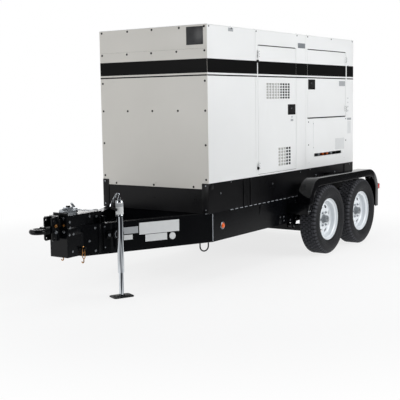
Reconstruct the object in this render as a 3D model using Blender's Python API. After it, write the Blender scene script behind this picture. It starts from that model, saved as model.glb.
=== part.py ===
"""Towable diesel generator on a tandem-axle trailer.

Frame: +X runs towards the trailer's rear, +Y to its right, +Z up. Lengths are in metres. X is
counted from the enclosure's front face while building; the empty "generator" then shifts
everything so that the origin stands on the ground under the middle of the overall box.
"""

import math

import bmesh
import bpy
from mathutils import Matrix, Vector

# ---- clearances and stock -------------------------------------------------
GAP = 0.0003  # between fixed pieces that touch
RUN = 0.0005  # radial clearance of a pin or sliding tube
SHEET = 0.003
DOOR_GAP = 0.003
ROUND = 20  # facets of a wheel
SMALL_ROUND = 12  # facets of a pin or tube

# ---- enclosure and base ---------------------------------------------------
BODY_LENGTH = 2.841
BODY_WIDTH = 1.165
BODY_HEIGHT = 1.3255
BASE_HEIGHT = 0.254
BASE_WALL = 0.006
BASE_FRONT_DROP = 0.048  # how far the front wall stays under the corner posts
CORNER_POST = 0.068
BEARER_OFFSET = 0.31  # centre of each engine bearer from the middle plane
BEARER_WIDTH = 0.06
DOOR_TOP_MARGIN = 0.1415
DOOR_SILL = 0.015
FRONT_PANEL = 0.812  # plain side panel ahead of the engine door
PILLAR = 0.233  # between the engine door and the control door
REAR_PANEL = 0.186
CONTROL_DOOR_WIDTH = 0.886
CONTROL_DOOR_HEIGHT = 0.68
TRAY_DEPTH = 0.02  # folded edge of a door
HINGE_RADIUS = 0.008
HINGE_LENGTH = 0.07
HINGE_INSET = 0.075  # hinge centre from the door's end
LATCH_WIDTH = 0.150
LATCH_HEIGHT = 0.100
LATCH_CUP = 0.018
PADDLE = 0.006
OUTLET_LENGTH = 0.63
OUTLET_HEIGHT = 0.032
OUTLET_RISE = 0.112  # above the base
ROOF_SLOT = (0.035, 0.84)
ROOF_SLOT_PITCH = 0.055
ROOF_SLOTS = 5

# ---- trailer frame --------------------------------------------------------
RAIL_BOTTOM = 0.3434
RAIL_HEIGHT = 0.2453
RAIL_THICK = 0.07
RAIL_FRONT = 0.05
NOSE_FRONT = -1.205
NOSE_LENGTH = 0.183
NOSE_HALF = RAIL_THICK + 0.019  # so that the two tongue beams stay apart at the nose
NOSE_BOTTOM = 0.357
NOSE_TOP = 0.5255
HOUSING_TOP = 0.680
HOUSING_REAR = -0.80
LASHING_RING = (0.041, 0.0055)  # ring radius, bar radius
LASHING_ALONG = 0.065  # ring centre from the rail's corner along the tongue beam

# ---- tow gear -------------------------------------------------------------
SLIDE_TUBE = (0.595, 0.655, 0.035)  # bottom, top, half width
SURGE_STROKE = 0.03
CHANNEL_FRONT = -1.316
CHANNEL_REAR = -1.236
CHANNEL_Z = (0.496, 0.684)
CHANNEL_HALF = 0.045
CHANNEL_WALL = 0.012
CHANNEL_HOLE = (0.020, 0.009)  # from the channel's front edge, radius
EYE_TIP = -1.487
EYE_Z = 0.585
EYE_RING = (0.048, 0.0205)  # ring radius, bar radius
LEVER_X = -0.97
CHAIN_Z = 0.415
CHAIN_X = -1.045
LINK_WIRE = 0.004

# ---- jack -----------------------------------------------------------------
JACK_ALONG = 0.898  # from the rail's corner along the tongue beam
JACK_OFFSET = 0.072  # tube centre from the beam's face
JACK_PIVOT_Z = 0.50
JACK_TUBE = 0.0255
JACK_BORE = 0.0200
JACK_TUBE_Z = (0.195, 0.643)
JACK_HEAD = (0.0300, 0.770)  # radius, top
JACK_LEG_TOP = 0.50
FOOT_SIZE = (0.175, 0.12, 0.012)
CRANK_REACH = 0.077  # from the jack's axis to the grip

# ---- running gear ---------------------------------------------------------
TYRE_RADIUS = 0.345
TYRE_SECTION = 0.203
TYRE_WALL = 0.012
RIM_RADIUS = 0.208
RIM_HALF = 0.070
WHEEL_GAP = 0.060  # between the rail and the tyre
TYRE_SPACE = 0.069  # between the two tyres on a side
TANDEM_FROM_REAR = 0.678  # middle of the tandem ahead of the enclosure's rear
SPINDLE = 0.020
AXLE_BEAM = 0.060
SPRING_WIDTH = 0.045
SPRING_THICK = 0.024
HANGER_PIN = 0.008
HANGER_Z = 0.305
HANGER_REACH = 0.31  # outer hanger from its axle
EQUALIZER_HALF = 0.10
SPRING_SEAT_Z = 0.270

# ---- fenders --------------------------------------------------------------
FENDER_WIDTH = 0.140
FENDER_INSET = 0.0115  # outer edge inside the tyre's widest point
FENDER_FRONT_GAP = 0.097
FENDER_REAR_GAP = 0.0735
FENDER_TOP_GAP = 0.085
FENDER_CORNER = 0.235
FENDER_FRONT_Z = 0.535
FENDER_REAR_Z = 0.357
VALANCE = 0.07
LAMP_DEPTH = 0.075

# ---- machinery ------------------------------------------------------------
CRANK_RISE = 0.327  # crankshaft above the base's top
RADIATOR_X = 0.30
RADIATOR_THICK = 0.08
SHROUD = 0.08
FAN_RADIUS = 0.30
ENGINE_FRONT = 0.62
ENGINE_LENGTH = 0.83
ALTERNATOR_RADIUS = 0.27
ALTERNATOR_LENGTH = 0.72
MUFFLER_RADIUS = 0.09
TANK_HEIGHT = 0.17

# ---- derived --------------------------------------------------------------
HALF = BODY_WIDTH / 2
RAIL_TOP = RAIL_BOTTOM + RAIL_HEIGHT
BASE_BOTTOM = RAIL_TOP + GAP
BASE_TOP = BASE_BOTTOM + BASE_HEIGHT
BEARER_TOP = BASE_TOP - BASE_FRONT_DROP / 2
ROOF_TOP = BASE_TOP + BODY_HEIGHT
ROOF_UNDER = ROOF_TOP - SHEET
WALL_TOP = ROOF_UNDER - GAP
DOOR_TOP = ROOF_TOP - DOOR_TOP_MARGIN
CONTROL_RIGHT = BODY_LENGTH - REAR_PANEL
CONTROL_LEFT = CONTROL_RIGHT - CONTROL_DOOR_WIDTH
CONTROL_BOTTOM = DOOR_TOP - CONTROL_DOOR_HEIGHT
ENGINE_DOOR_REAR = CONTROL_LEFT - PILLAR
ENGINE_DOOR_BOTTOM = BASE_TOP + DOOR_SILL
TYRE_Y = HALF + WHEEL_GAP + TYRE_SECTION / 2
AXLE_SPACING = 2 * TYRE_RADIUS + TYRE_SPACE
TANDEM_X = BODY_LENGTH - TANDEM_FROM_REAR
AXLES = {"front": TANDEM_X - AXLE_SPACING / 2, "rear": TANDEM_X + AXLE_SPACING / 2}
FENDER_OUTER = TYRE_Y + TYRE_SECTION / 2 - FENDER_INSET
FENDER_FRONT = AXLES["front"] - TYRE_RADIUS - FENDER_FRONT_GAP
FENDER_REAR = AXLES["rear"] + TYRE_RADIUS + FENDER_REAR_GAP
FENDER_TOP = 2 * TYRE_RADIUS + FENDER_TOP_GAP
RAIL_REAR = FENDER_REAR - 0.011
RAIL_Y = HALF - RAIL_THICK / 2
OVERALL_REAR = FENDER_REAR + GAP + LAMP_DEPTH
CENTRE_X = (EYE_TIP + OVERALL_REAR) / 2
SIDES = {"left": -1, "right": 1}

# Tongue beam: its outer face runs from the rail's corner to the nose.
BEAM_REAR = RAIL_FRONT - GAP
NOSE_REAR = NOSE_FRONT + NOSE_LENGTH
BEAM_FRONT = NOSE_REAR + GAP
BEAM_RUN = Vector((BEAM_FRONT - BEAM_REAR, HALF - NOSE_HALF))
BEAM_LENGTH = BEAM_RUN.length
BEAM_ANGLE = math.atan2(BEAM_RUN.y, -BEAM_RUN.x)

COLOURS = {
    "white enamel": ((0.86, 0.87, 0.87), 0.45, 0.0),
    "black enamel": ((0.012, 0.012, 0.014), 0.28, 0.0),
    "black steel": ((0.02, 0.02, 0.022), 0.4, 0.0),
    "rubber": ((0.025, 0.025, 0.028), 0.8, 0.0),
    "white rim enamel": ((0.88, 0.90, 0.92), 0.35, 0.0),
    "zinc": ((0.62, 0.64, 0.66), 0.3, 1.0),
    "yellow zinc": ((0.55, 0.38, 0.16), 0.4, 1.0),
    "cast iron": ((0.10, 0.11, 0.11), 0.6, 0.6),
    "aluminium": ((0.55, 0.56, 0.57), 0.4, 1.0),
    "black plastic": ((0.02, 0.02, 0.02), 0.5, 0.0),
    "red plastic": ((0.45, 0.01, 0.01), 0.25, 0.0),
    "grey enamel": ((0.30, 0.31, 0.32), 0.45, 0.0),
}


# ---- building blocks ------------------------------------------------------
def cleared_scene():
    """Empties the scene and returns the empty that every piece hangs from."""
    for obj in list(bpy.data.objects):
        bpy.data.objects.remove(obj, do_unlink=True)
    root = bpy.data.objects.new("generator", None)
    root.location = (-CENTRE_X, 0.0, 0.0)
    bpy.context.scene.collection.objects.link(root)
    return root


ROOT = cleared_scene()


def material(name):
    """The Principled material of this name, made on first use."""
    found = bpy.data.materials.get(name)
    if found:
        return found
    colour, roughness, metallic = COLOURS[name]
    made = bpy.data.materials.new(name)
    made.use_nodes = True
    shader = made.node_tree.nodes["Principled BSDF"]
    shader.inputs["Base Color"].default_value = (*colour, 1.0)
    shader.inputs["Roughness"].default_value = roughness
    shader.inputs["Metallic"].default_value = metallic
    return made


def box(low, high):
    """A box between two corners."""
    bm = bmesh.new()
    bmesh.ops.create_cube(bm, size=1.0)
    size = Vector(high) - Vector(low)
    bmesh.ops.scale(bm, vec=size, verts=bm.verts)
    bmesh.ops.translate(bm, vec=(Vector(low) + Vector(high)) / 2, verts=bm.verts)
    return bm


def side_box(x, y, z, sign):
    """A box given by ranges, with Y counted outwards on the side that sign names."""
    near, far = sorted((sign * y[0], sign * y[1]))
    return box((x[0], near, z[0]), (x[1], far, z[1]))


def prism(outline, low, high, axis="Y"):
    """An outline pushed along an axis: (x, z) points along Y, or (x, y) points along Z."""
    bm = bmesh.new()
    if axis == "Y":
        verts = [bm.verts.new((a, low, b)) for a, b in outline]
        step = Vector((0, high - low, 0))
    else:
        verts = [bm.verts.new((a, b, low)) for a, b in outline]
        step = Vector((0, 0, high - low))
    face = bm.faces.new(verts)
    raised = bmesh.ops.extrude_face_region(bm, geom=[face])
    moved = [item for item in raised["geom"] if isinstance(item, bmesh.types.BMVert)]
    bmesh.ops.translate(bm, vec=step, verts=moved)
    bmesh.ops.recalc_face_normals(bm, faces=bm.faces)
    return bm


def turned(profile, centre, axis, facets=SMALL_ROUND):
    """A profile of (radius, height along axis) spun about the axis through centre."""
    bm = bmesh.new()
    verts = [bm.verts.new((radius, 0.0, height)) for radius, height in profile]
    edges = [bm.edges.new(pair) for pair in zip(verts, verts[1:])]
    if profile[0][0] > 0 and profile[0] != profile[-1]:
        edges.append(bm.edges.new((verts[-1], verts[0])))
    bmesh.ops.spin(
        bm,
        geom=verts + edges,
        cent=(0, 0, 0),
        axis=(0, 0, 1),
        dvec=(0, 0, 0),
        angle=math.tau,
        steps=facets,
        use_merge=True,
    )
    bmesh.ops.remove_doubles(bm, verts=bm.verts, dist=1e-5)
    bmesh.ops.recalc_face_normals(bm, faces=bm.faces)
    turn = Vector((0, 0, 1)).rotation_difference(Vector(axis)).to_matrix()
    bmesh.ops.rotate(bm, cent=(0, 0, 0), matrix=turn, verts=bm.verts)
    bmesh.ops.translate(bm, vec=centre, verts=bm.verts)
    return bm


def rod(start, end, radius, facets=SMALL_ROUND):
    """A solid cylinder between two points."""
    run = Vector(end) - Vector(start)
    profile = [(0, 0), (radius, 0), (radius, run.length), (0, run.length)]
    return turned(profile, start, run.normalized(), facets)


def tube_along(points, radius, closed=False, sides=8):
    """A round bar along a list of points, closed into a ring if asked."""
    bm = bmesh.new()
    count = len(points)
    points = [Vector(point) for point in points]
    normal = None
    rings = []
    for i, point in enumerate(points):
        before = points[(i - 1) % count] if closed or i else point
        after = points[(i + 1) % count] if closed or i < count - 1 else point
        run = (after - before).normalized()
        if normal is None:
            normal = run.orthogonal().normalized()
        normal = (normal - run * normal.dot(run)).normalized()
        other = run.cross(normal)
        angles = [math.tau * k / sides for k in range(sides)]
        rings.append(
            [bm.verts.new(point + radius * (math.cos(a) * normal + math.sin(a) * other)) for a in angles]
        )
    pairs = list(zip(rings, rings[1:] + ([rings[0]] if closed else [])))
    for one, two in pairs:
        for k in range(sides):
            bm.faces.new((one[k], one[(k + 1) % sides], two[(k + 1) % sides], two[k]))
    if not closed:
        bm.faces.new(rings[0])
        bm.faces.new(rings[-1])
    bmesh.ops.recalc_face_normals(bm, faces=bm.faces)
    return bm


def arc(centre, radius, start, end, steps):
    """Points on an arc in a plane, with angles in degrees."""
    for k in range(steps + 1):
        angle = math.radians(start + (end - start) * k / steps)
        yield (centre[0] + radius * math.cos(angle), centre[1] + radius * math.sin(angle))


def as_object(name, bm, pivot, smooth):
    """The bmesh as an object with its origin at pivot, hanging from the root."""
    bmesh.ops.translate(bm, vec=-Vector(pivot), verts=bm.verts)
    mesh = bpy.data.meshes.new(name)
    bm.to_mesh(mesh)
    bm.free()
    if smooth:
        mesh.shade_smooth()
        mesh.set_sharp_from_angle(angle=math.radians(35))
    obj = bpy.data.objects.new(name, mesh)
    obj.location = pivot
    obj.parent = ROOT
    bpy.context.scene.collection.objects.link(obj)
    return obj


def piece(name, finish, solids, cuts=(), added=(), trims=(), pivot=(0, 0, 0), smooth=False):
    """One named solid: the solids joined, less the cuts, then the added shapes, less the trims."""
    obj = as_object(name, solids[0], pivot, smooth)
    obj.data.materials.append(material(finish))
    steps = [("UNION", shape) for shape in solids[1:]]
    steps += [("DIFFERENCE", shape) for shape in cuts]
    steps += [("UNION", shape) for shape in added]
    steps += [("DIFFERENCE", shape) for shape in trims]
    for number, (operation, shape) in enumerate(steps):
        helper = as_object(f"{name}.{operation.lower()}{number}", shape, (0, 0, 0), smooth)
        helper.hide_render = True
        helper.display_type = "WIRE"
        change = obj.modifiers.new(f"{operation.lower()}{number}", "BOOLEAN")
        change.operation = operation
        change.solver = "EXACT"
        change.object = helper


# ---- trailer frame --------------------------------------------------------
def lashing_ring(sign):
    """The U-shaped bar under the rear end of a tongue beam, in line with the beam."""
    radius, bar = LASHING_RING
    forward = Vector((-math.cos(BEAM_ANGLE), -sign * math.sin(BEAM_ANGLE), 0))
    inward = Vector((math.sin(BEAM_ANGLE), -sign * math.cos(BEAM_ANGLE), 0))
    centre = Vector((BEAM_REAR, sign * HALF, 0)) + forward * LASHING_ALONG + inward * RAIL_THICK / 2
    straight = 0.035
    outline = [(-radius, RAIL_BOTTOM + 0.01)]
    outline += arc((0, RAIL_BOTTOM - straight), radius, 180, 360, 6)
    outline.append((radius, RAIL_BOTTOM + 0.01))
    path = [centre + forward * along + Vector((0, 0, z)) for along, z in outline]
    return tube_along(path, bar, sides=6)


def hanger(x, sign):
    """Two ears under the rail."""
    inner = SPRING_WIDTH / 2 + 0.0015
    for y in (RAIL_Y - inner - 0.006, RAIL_Y + inner):
        outline = [
            (x - 0.045, RAIL_BOTTOM + 0.01),
            (x - 0.022, HANGER_Z - 0.022),
            (x + 0.022, HANGER_Z - 0.022),
            (x + 0.045, RAIL_BOTTOM + 0.01),
        ]
        near, far = sorted((sign * y, sign * (y + 0.006)))
        yield prism(outline, near, far)
    reach = inner + 0.008
    ends = [(x, sign * (RAIL_Y + out), HANGER_Z) for out in (-reach, reach)]
    yield rod(*ends, HANGER_PIN, 12)


def hanger_places():
    return (AXLES["front"] - HANGER_REACH, TANDEM_X, AXLES["rear"] + HANGER_REACH)


def build_frame():
    for side, sign in SIDES.items():
        rail = side_box((RAIL_FRONT, RAIL_REAR), (HALF - RAIL_THICK, HALF), (RAIL_BOTTOM, RAIL_TOP), sign)
        parts = [rail]
        for x in hanger_places():
            parts += list(hanger(x, sign))
        piece(f"frame_rail_{side}", "black enamel", parts)

        thick = RAIL_THICK / math.cos(BEAM_ANGLE)
        outline = [
            (BEAM_REAR, sign * HALF),
            (BEAM_FRONT, sign * NOSE_HALF),
            (BEAM_FRONT, sign * (NOSE_HALF - thick)),
            (BEAM_REAR, sign * (HALF - thick)),
        ]
        beam = prism(outline, RAIL_BOTTOM, RAIL_TOP, axis="Z")
        piece(f"tongue_beam_{side}", "black enamel", [beam, lashing_ring(sign)])

    inner = HALF - RAIL_THICK - GAP
    for name, x in (("crossmember_front", RAIL_FRONT), ("crossmember_rear", RAIL_REAR - 0.07)):
        piece(name, "black enamel", [box((x, -inner, RAIL_BOTTOM), (x + 0.07, inner, RAIL_TOP))])

    nose = box((NOSE_FRONT, -NOSE_HALF, NOSE_BOTTOM), (NOSE_REAR, NOSE_HALF, NOSE_TOP))
    studs = []
    for sign in SIDES.values():
        reach = NOSE_HALF + 0.036
        studs.append(rod((CHAIN_X, 0, CHAIN_Z), (CHAIN_X, sign * reach, CHAIN_Z), 0.007, 12))
        head = (CHAIN_X, sign * (reach + 0.006), CHAIN_Z)
        studs.append(rod((CHAIN_X, sign * reach, CHAIN_Z), head, 0.013, 12))
    piece("tongue_nose", "black enamel", [nose, *studs])


# ---- tow gear -------------------------------------------------------------
def build_tow_gear():
    bottom, top, half = SLIDE_TUBE
    low = box((NOSE_FRONT, -NOSE_HALF, NOSE_TOP + GAP), (NOSE_REAR, NOSE_HALF, RAIL_TOP + 0.02))
    high = box((NOSE_FRONT, -NOSE_HALF, RAIL_TOP + GAP), (HOUSING_REAR, NOSE_HALF, HOUSING_TOP))
    bore = box(
        (NOSE_FRONT - 0.01, -half - RUN, bottom - RUN),
        (-0.90, half + RUN, top + RUN),
    )
    lever_z = HOUSING_TOP + 0.018
    ear = box((LEVER_X - 0.02, 0.044, HOUSING_TOP - 0.01), (LEVER_X + 0.02, 0.054, lever_z + 0.014))
    lever_pin = rod((LEVER_X, 0.024, lever_z), (LEVER_X, 0.050, lever_z), 0.005, 12)
    piece("coupler_housing", "black enamel", [high, low, ear, lever_pin], [bore])

    tube = box((CHANNEL_REAR - 0.005, -half, bottom), (-0.95, half, top))
    block = box((CHANNEL_FRONT, -CHANNEL_HALF, CHANNEL_Z[0]), (CHANNEL_REAR, CHANNEL_HALF, CHANNEL_Z[1]))
    web = CHANNEL_REAR - 0.017
    inner = CHANNEL_HALF - CHANNEL_WALL
    mouth = box((CHANNEL_FRONT - 0.01, -inner, CHANNEL_Z[0] - 0.01), (web, inner, CHANNEL_Z[1] + 0.01))
    hole_x = CHANNEL_FRONT + CHANNEL_HOLE[0]
    holes = [
        rod((hole_x, -0.06, z), (hole_x, 0.06, z), CHANNEL_HOLE[1], 12)
        for z in (EYE_Z - 0.068, EYE_Z + 0.072)
    ]
    piece("coupler_slide", "black enamel", [block, tube], [mouth, *holes])

    radius, bar = EYE_RING
    centre = (EYE_TIP + radius + bar, 0, EYE_Z)
    ring = turned(
        [(radius + x, z) for x, z in arc((0, 0), bar, 0, 330, 11)],
        centre,
        (0, 0, 1),
        24,
    )
    shank = box(
        (centre[0] + radius - 0.004, -inner + GAP, EYE_Z - 0.030),
        (web - GAP, inner - GAP, EYE_Z + 0.030),
    )
    piece("lunette_ring", "black steel", [ring, shank], smooth=True)

    cylinder_z = HOUSING_TOP + GAP + 0.022
    body = rod((-1.17, 0, cylinder_z), (-1.00, 0, cylinder_z), 0.022)
    foot = box((-1.14, -0.028, HOUSING_TOP + GAP), (-1.03, 0.028, cylinder_z - 0.005))
    reservoir = box((-1.12, -0.024, cylinder_z), (-1.06, 0.024, HOUSING_TOP + 0.055))
    piece("master_cylinder", "zinc", [body, foot, reservoir], smooth=True)

    blade = prism(
        [
            (LEVER_X - 0.012, HOUSING_TOP + 0.006),
            (LEVER_X + 0.014, HOUSING_TOP + 0.006),
            (LEVER_X - 0.040, HOUSING_TOP + 0.076),
            (LEVER_X - 0.056, HOUSING_TOP + 0.072),
        ],
        0.026,
        0.040,
    )
    bore = rod((LEVER_X, 0.0, lever_z), (LEVER_X, 0.06, lever_z), 0.005 + RUN, 12)
    piece("breakaway_lever", "zinc", [blade], [bore], pivot=(LEVER_X, 0.033, lever_z))

    for side, sign in SIDES.items():
        build_chain(side, sign)


def link_path(centre, half_length, radius, plane):
    """A stadium-shaped link hanging along Z in the XZ or the YZ plane."""
    outline = [*arc((0, half_length), radius, 0, 180, 4), *arc((0, -half_length), radius, 180, 360, 4)]
    for across, up in outline:
        offset = (across, 0, up) if plane == "XZ" else (0, across, up)
        yield Vector(centre) + Vector(offset)


def build_chain(side, sign):
    """Two links and a hook, hanging from the stud on the nose."""
    y = sign * (NOSE_HALF + 0.019)
    stud, radius, straight = 0.007, 0.013, 0.012
    inner_top = CHAIN_Z + stud + RUN
    first = Vector((CHAIN_X, y, inner_top + LINK_WIRE - straight - radius))
    pitch = 2 * (straight + radius) - 1.5 * LINK_WIRE
    second = first - Vector((0, 0, pitch))
    links = [
        tube_along(list(link_path(first, straight, radius, "XZ")), LINK_WIRE, closed=True, sides=6),
        tube_along(list(link_path(second, straight, radius, "YZ")), LINK_WIRE, closed=True, sides=6),
    ]
    top = second.z - straight - radius
    hook = [(CHAIN_X, y, top + 0.001), (CHAIN_X, y, top - 0.012)]
    hook += [(x, y, z) for x, z in arc((CHAIN_X - 0.011, top - 0.022), 0.011, 30, -190, 6)]
    links.append(tube_along(hook, 0.0045, sides=6))
    piece(f"safety_chain_{side}", "yellow zinc", links, pivot=(CHAIN_X, y, CHAIN_Z), smooth=True)


# ---- jack -----------------------------------------------------------------
BEAM_FORWARD = Vector((-math.cos(BEAM_ANGLE), math.sin(BEAM_ANGLE), 0))
BEAM_OUT = Vector((-math.sin(BEAM_ANGLE), -math.cos(BEAM_ANGLE), 0))
JACK_FOOTING = Vector((BEAM_REAR, -HALF, 0)) + BEAM_FORWARD * JACK_ALONG
JACK_CENTRE = JACK_FOOTING + BEAM_OUT * JACK_OFFSET


def beam_box(along, out, z):
    """A box in the near beam's own directions, about the jack's footing."""
    bm = box((along[0], out[0], z[0]), (along[1], out[1], z[1]))
    turn = Matrix((BEAM_FORWARD, BEAM_OUT, Vector((0, 0, 1)))).transposed()
    bmesh.ops.transform(bm, matrix=Matrix.Translation(JACK_FOOTING) @ turn.to_4x4(), verts=bm.verts)
    return bm


def beam_point(along, out, z):
    return JACK_FOOTING + BEAM_FORWARD * along + BEAM_OUT * out + Vector((0, 0, z))


def build_jack():
    plate = 0.010
    stub = 0.030
    pivot_z = JACK_PIVOT_Z
    mount = beam_box((-0.045, 0.115), (GAP, GAP + plate), (RAIL_BOTTOM + 0.03, RAIL_TOP - 0.006))
    post = rod(beam_point(0, plate / 2, pivot_z), beam_point(0, 0.036, pivot_z), stub, 20)
    piece("jack_mount", "black enamel", [mount, post])

    collar = rod(beam_point(0, plate + 2 * GAP, pivot_z), beam_point(0, 0.055, pivot_z), 0.046, 20)
    bore = rod(beam_point(0, 0, pivot_z), beam_point(0, 0.036 + GAP, pivot_z), stub + RUN, 20)
    centre = JACK_CENTRE
    low, high = JACK_TUBE_Z
    head_radius, head_top = JACK_HEAD
    profile = [(0, low), (JACK_TUBE, low), (JACK_TUBE, high)]
    profile += [(head_radius, high), (head_radius, head_top), (0, head_top)]
    outer = turned(profile, centre, (0, 0, 1))
    inside = rod(centre + Vector((0, 0, low - 0.01)), centre + Vector((0, 0, head_top - 0.06)), JACK_BORE)
    lug = beam_box((0.040, 0.095), (plate + 2 * GAP, 0.030), (pivot_z - 0.03, pivot_z + 0.03))
    pin_hole = rod(beam_point(0.078, 0, pivot_z), beam_point(0.078, 0.05, pivot_z), 0.006 + RUN, 12)
    piece(
        "jack_tube",
        "zinc",
        [outer, collar, lug],
        [inside, bore, pin_hole],
        pivot=beam_point(0, 0, pivot_z),
        smooth=True,
    )

    leg = rod(centre, centre + Vector((0, 0, JACK_LEG_TOP)), JACK_BORE - RUN)
    along, across, thick = FOOT_SIZE
    reach = (JACK_OFFSET - across / 2, JACK_OFFSET + across / 2)
    foot = beam_box((-along / 2, along / 2), reach, (0, thick))
    piece("jack_leg", "zinc", [foot, leg], pivot=tuple(centre))

    grip = beam_point(CRANK_REACH, JACK_OFFSET, 0.724)
    path = [
        centre + Vector((0, 0, head_top + GAP)),
        centre + Vector((0, 0, 0.812)),
        centre + Vector((0, 0, 0.826)) + BEAM_FORWARD * 0.010,
        centre + Vector((0, 0, 0.822)) + BEAM_FORWARD * 0.024,
        beam_point(0.048, JACK_OFFSET, 0.778),
        grip + Vector((0, 0, 0.012)),
    ]
    arm = tube_along(path, 0.007)
    grip_start = grip - BEAM_OUT * 0.010 + Vector((0, 0, 0.004))
    grip_end = grip + BEAM_OUT * 0.055 - BEAM_FORWARD * 0.030 - Vector((0, 0, 0.022))
    handle = rod(grip_start, grip_end, 0.011, 12)
    collar = rod(centre + Vector((0, 0, head_top + GAP)), centre + Vector((0, 0, head_top + 0.022)), 0.014)
    pivot = centre + Vector((0, 0, head_top))
    piece("jack_crank", "zinc", [arm, collar, handle], pivot=pivot, smooth=True)

    start, seat, end = (beam_point(0.078, out, pivot_z) for out in (plate + 0.0016, 0.0305, 0.05))
    shank = rod(start, end - BEAM_OUT * 0.005, 0.006, 12)
    knob = rod(seat, end, 0.011, 12)
    piece("jack_pin", "zinc", [shank, knob], pivot=seat)


# ---- running gear ---------------------------------------------------------
HUB_INNER = -0.092
SPINDLE_END = 0.040


def wheel_profile():
    """Half section of rim, disc, hub, drum and cap: (radius, distance outwards from the tyre's middle)."""
    bore = SPINDLE + RUN + 0.0003
    return [
        (0, 0.066),
        (0.030, 0.062),
        (0.046, 0.030),
        (0.060, 0.010),
        (0.150, 0.006),
        (0.176, 0.020),
        (0.178, 0.046),
        (0.203, RIM_HALF),
        (RIM_RADIUS, RIM_HALF),
        (0.202, 0.051),
        (0.1865, 0.046),
        (0.1865, -0.046),
        (0.202, -0.051),
        (RIM_RADIUS, -RIM_HALF),
        (0.203, -RIM_HALF),
        (0.178, -0.048),
        (0.172, -0.004),
        (0.060, -0.004),
        (0.060, -0.026),
        (0.128, -0.032),
        (0.128, -0.088),
        (bore, HUB_INNER),
        (bore, SPINDLE_END + 0.001),
        (0, SPINDLE_END + 0.001),
    ]


def tyre_profile():
    """Closed section of a tyre that bulges out over the rim's flanges."""
    half = TYRE_SECTION / 2
    tread = TYRE_RADIUS
    wall = TYRE_WALL
    height = tread - RIM_RADIUS
    outer = [
        (0.1868, 0.0440),
        (0.2015, 0.0490),
        (RIM_RADIUS + 0.0020, 0.0680),
        (RIM_RADIUS + 0.24 * height, half - 0.007),
        (RIM_RADIUS + 0.45 * height, half),
        (RIM_RADIUS + 0.80 * height, half - 0.012),
        (tread - 0.004, 0.074),
        (tread, 0.058),
    ]
    inner = [
        (tread - 1.2 * wall, 0.055),
        (tread - 3 * wall, half - 0.028),
        (RIM_RADIUS + 0.42 * height, half - wall),
        (RIM_RADIUS + 0.10 * height, 0.060),
        (0.1868, 0.030),
    ]
    right = outer + [(r, -s) for r, s in reversed(outer)]
    left = [(r, -s) for r, s in reversed(inner)] + inner
    return right + left


def build_running_gear():
    for axle, x in AXLES.items():
        build_axle(axle, x)
        for side, sign in SIDES.items():
            centre = (x, sign * TYRE_Y, TYRE_RADIUS)
            axis = (0, sign, 0)
            windows = []
            for k in range(8):
                angle = math.tau * (k + 0.5) / 8
                at = Vector(centre) + 0.122 * Vector((math.cos(angle), 0, math.sin(angle)))
                windows.append(rod(at - 0.02 * Vector(axis), at + 0.03 * Vector(axis), 0.017, 6))
            wheel = turned(wheel_profile(), centre, axis, ROUND)
            piece(f"wheel_{axle}_{side}", "white rim enamel", [wheel], windows, pivot=centre, smooth=True)
            tyre = turned(tyre_profile(), centre, axis, ROUND)
            piece(f"tyre_{axle}_{side}", "rubber", [tyre], pivot=centre, smooth=True)
            build_spring(axle, side, sign)
    for side, sign in SIDES.items():
        build_equalizer(side, sign)


def build_axle(axle, x):
    """Drop axle: a low beam, an upright at each end, and a spindle through each hub."""
    top = SPRING_SEAT_Z - GAP
    arm_in = HALF + 0.008
    arm_out = TYRE_Y + HUB_INNER - 0.004
    half = AXLE_BEAM / 2
    parts = [box((x - half, -arm_out, top - AXLE_BEAM), (x + half, arm_out, top))]
    for sign in SIDES.values():
        rise = (top - AXLE_BEAM, TYRE_RADIUS + 0.032)
        parts.append(side_box((x - half, x + half), (arm_in, arm_out), rise, sign))
        parts.append(
            rod(
                (x, sign * arm_in, TYRE_RADIUS),
                (x, sign * (TYRE_Y + SPINDLE_END), TYRE_RADIUS),
                SPINDLE,
            )
        )
    piece(f"axle_{axle}", "black steel", parts)


def build_spring(axle, side, sign):
    """Leaf pack from its outer hanger's pin to the equalizer, over the axle."""
    toward = 1 if axle == "front" else -1  # from the hanger to the equalizer
    x = AXLES[axle]
    eye = x - toward * HANGER_REACH
    slip = TANDEM_X - toward * 0.045
    under = HANGER_Z - 0.015 - GAP  # the equalizer's lower face
    thick = SPRING_THICK
    outline = [
        (eye, HANGER_Z - 0.013),
        (x - toward * 0.16, SPRING_SEAT_Z + 0.004),
        (x - toward * 0.06, SPRING_SEAT_Z),
        (x + toward * 0.06, SPRING_SEAT_Z),
        (x + toward * 0.16, SPRING_SEAT_Z + 0.003),
        (slip, under - 0.010),
        (slip, under),
        (x + toward * 0.24, under),
        (x + toward * 0.12, SPRING_SEAT_Z + thick - 0.006),
        (x + toward * 0.06, SPRING_SEAT_Z + thick),
        (x - toward * 0.06, SPRING_SEAT_Z + thick),
        (x - toward * 0.16, SPRING_SEAT_Z + thick),
        (eye, HANGER_Z + 0.002),
    ]
    near, far = sorted((sign * (RAIL_Y - SPRING_WIDTH / 2), sign * (RAIL_Y + SPRING_WIDTH / 2)))
    pack = prism(outline, near, far)
    rolled = rod((eye, near, HANGER_Z), (eye, far, HANGER_Z), 0.0155)
    low, high = SPRING_SEAT_Z + 0.006, SPRING_SEAT_Z + thick + 0.010
    clamp = box((x - 0.05, near - 0.004, low), (x + 0.05, far + 0.004, high))
    bore = rod((eye, near - 0.01, HANGER_Z), (eye, far + 0.01, HANGER_Z), HANGER_PIN + RUN, 12)
    piece(f"leaf_spring_{axle}_{side}", "black steel", [pack, rolled, clamp], [bore])


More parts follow.
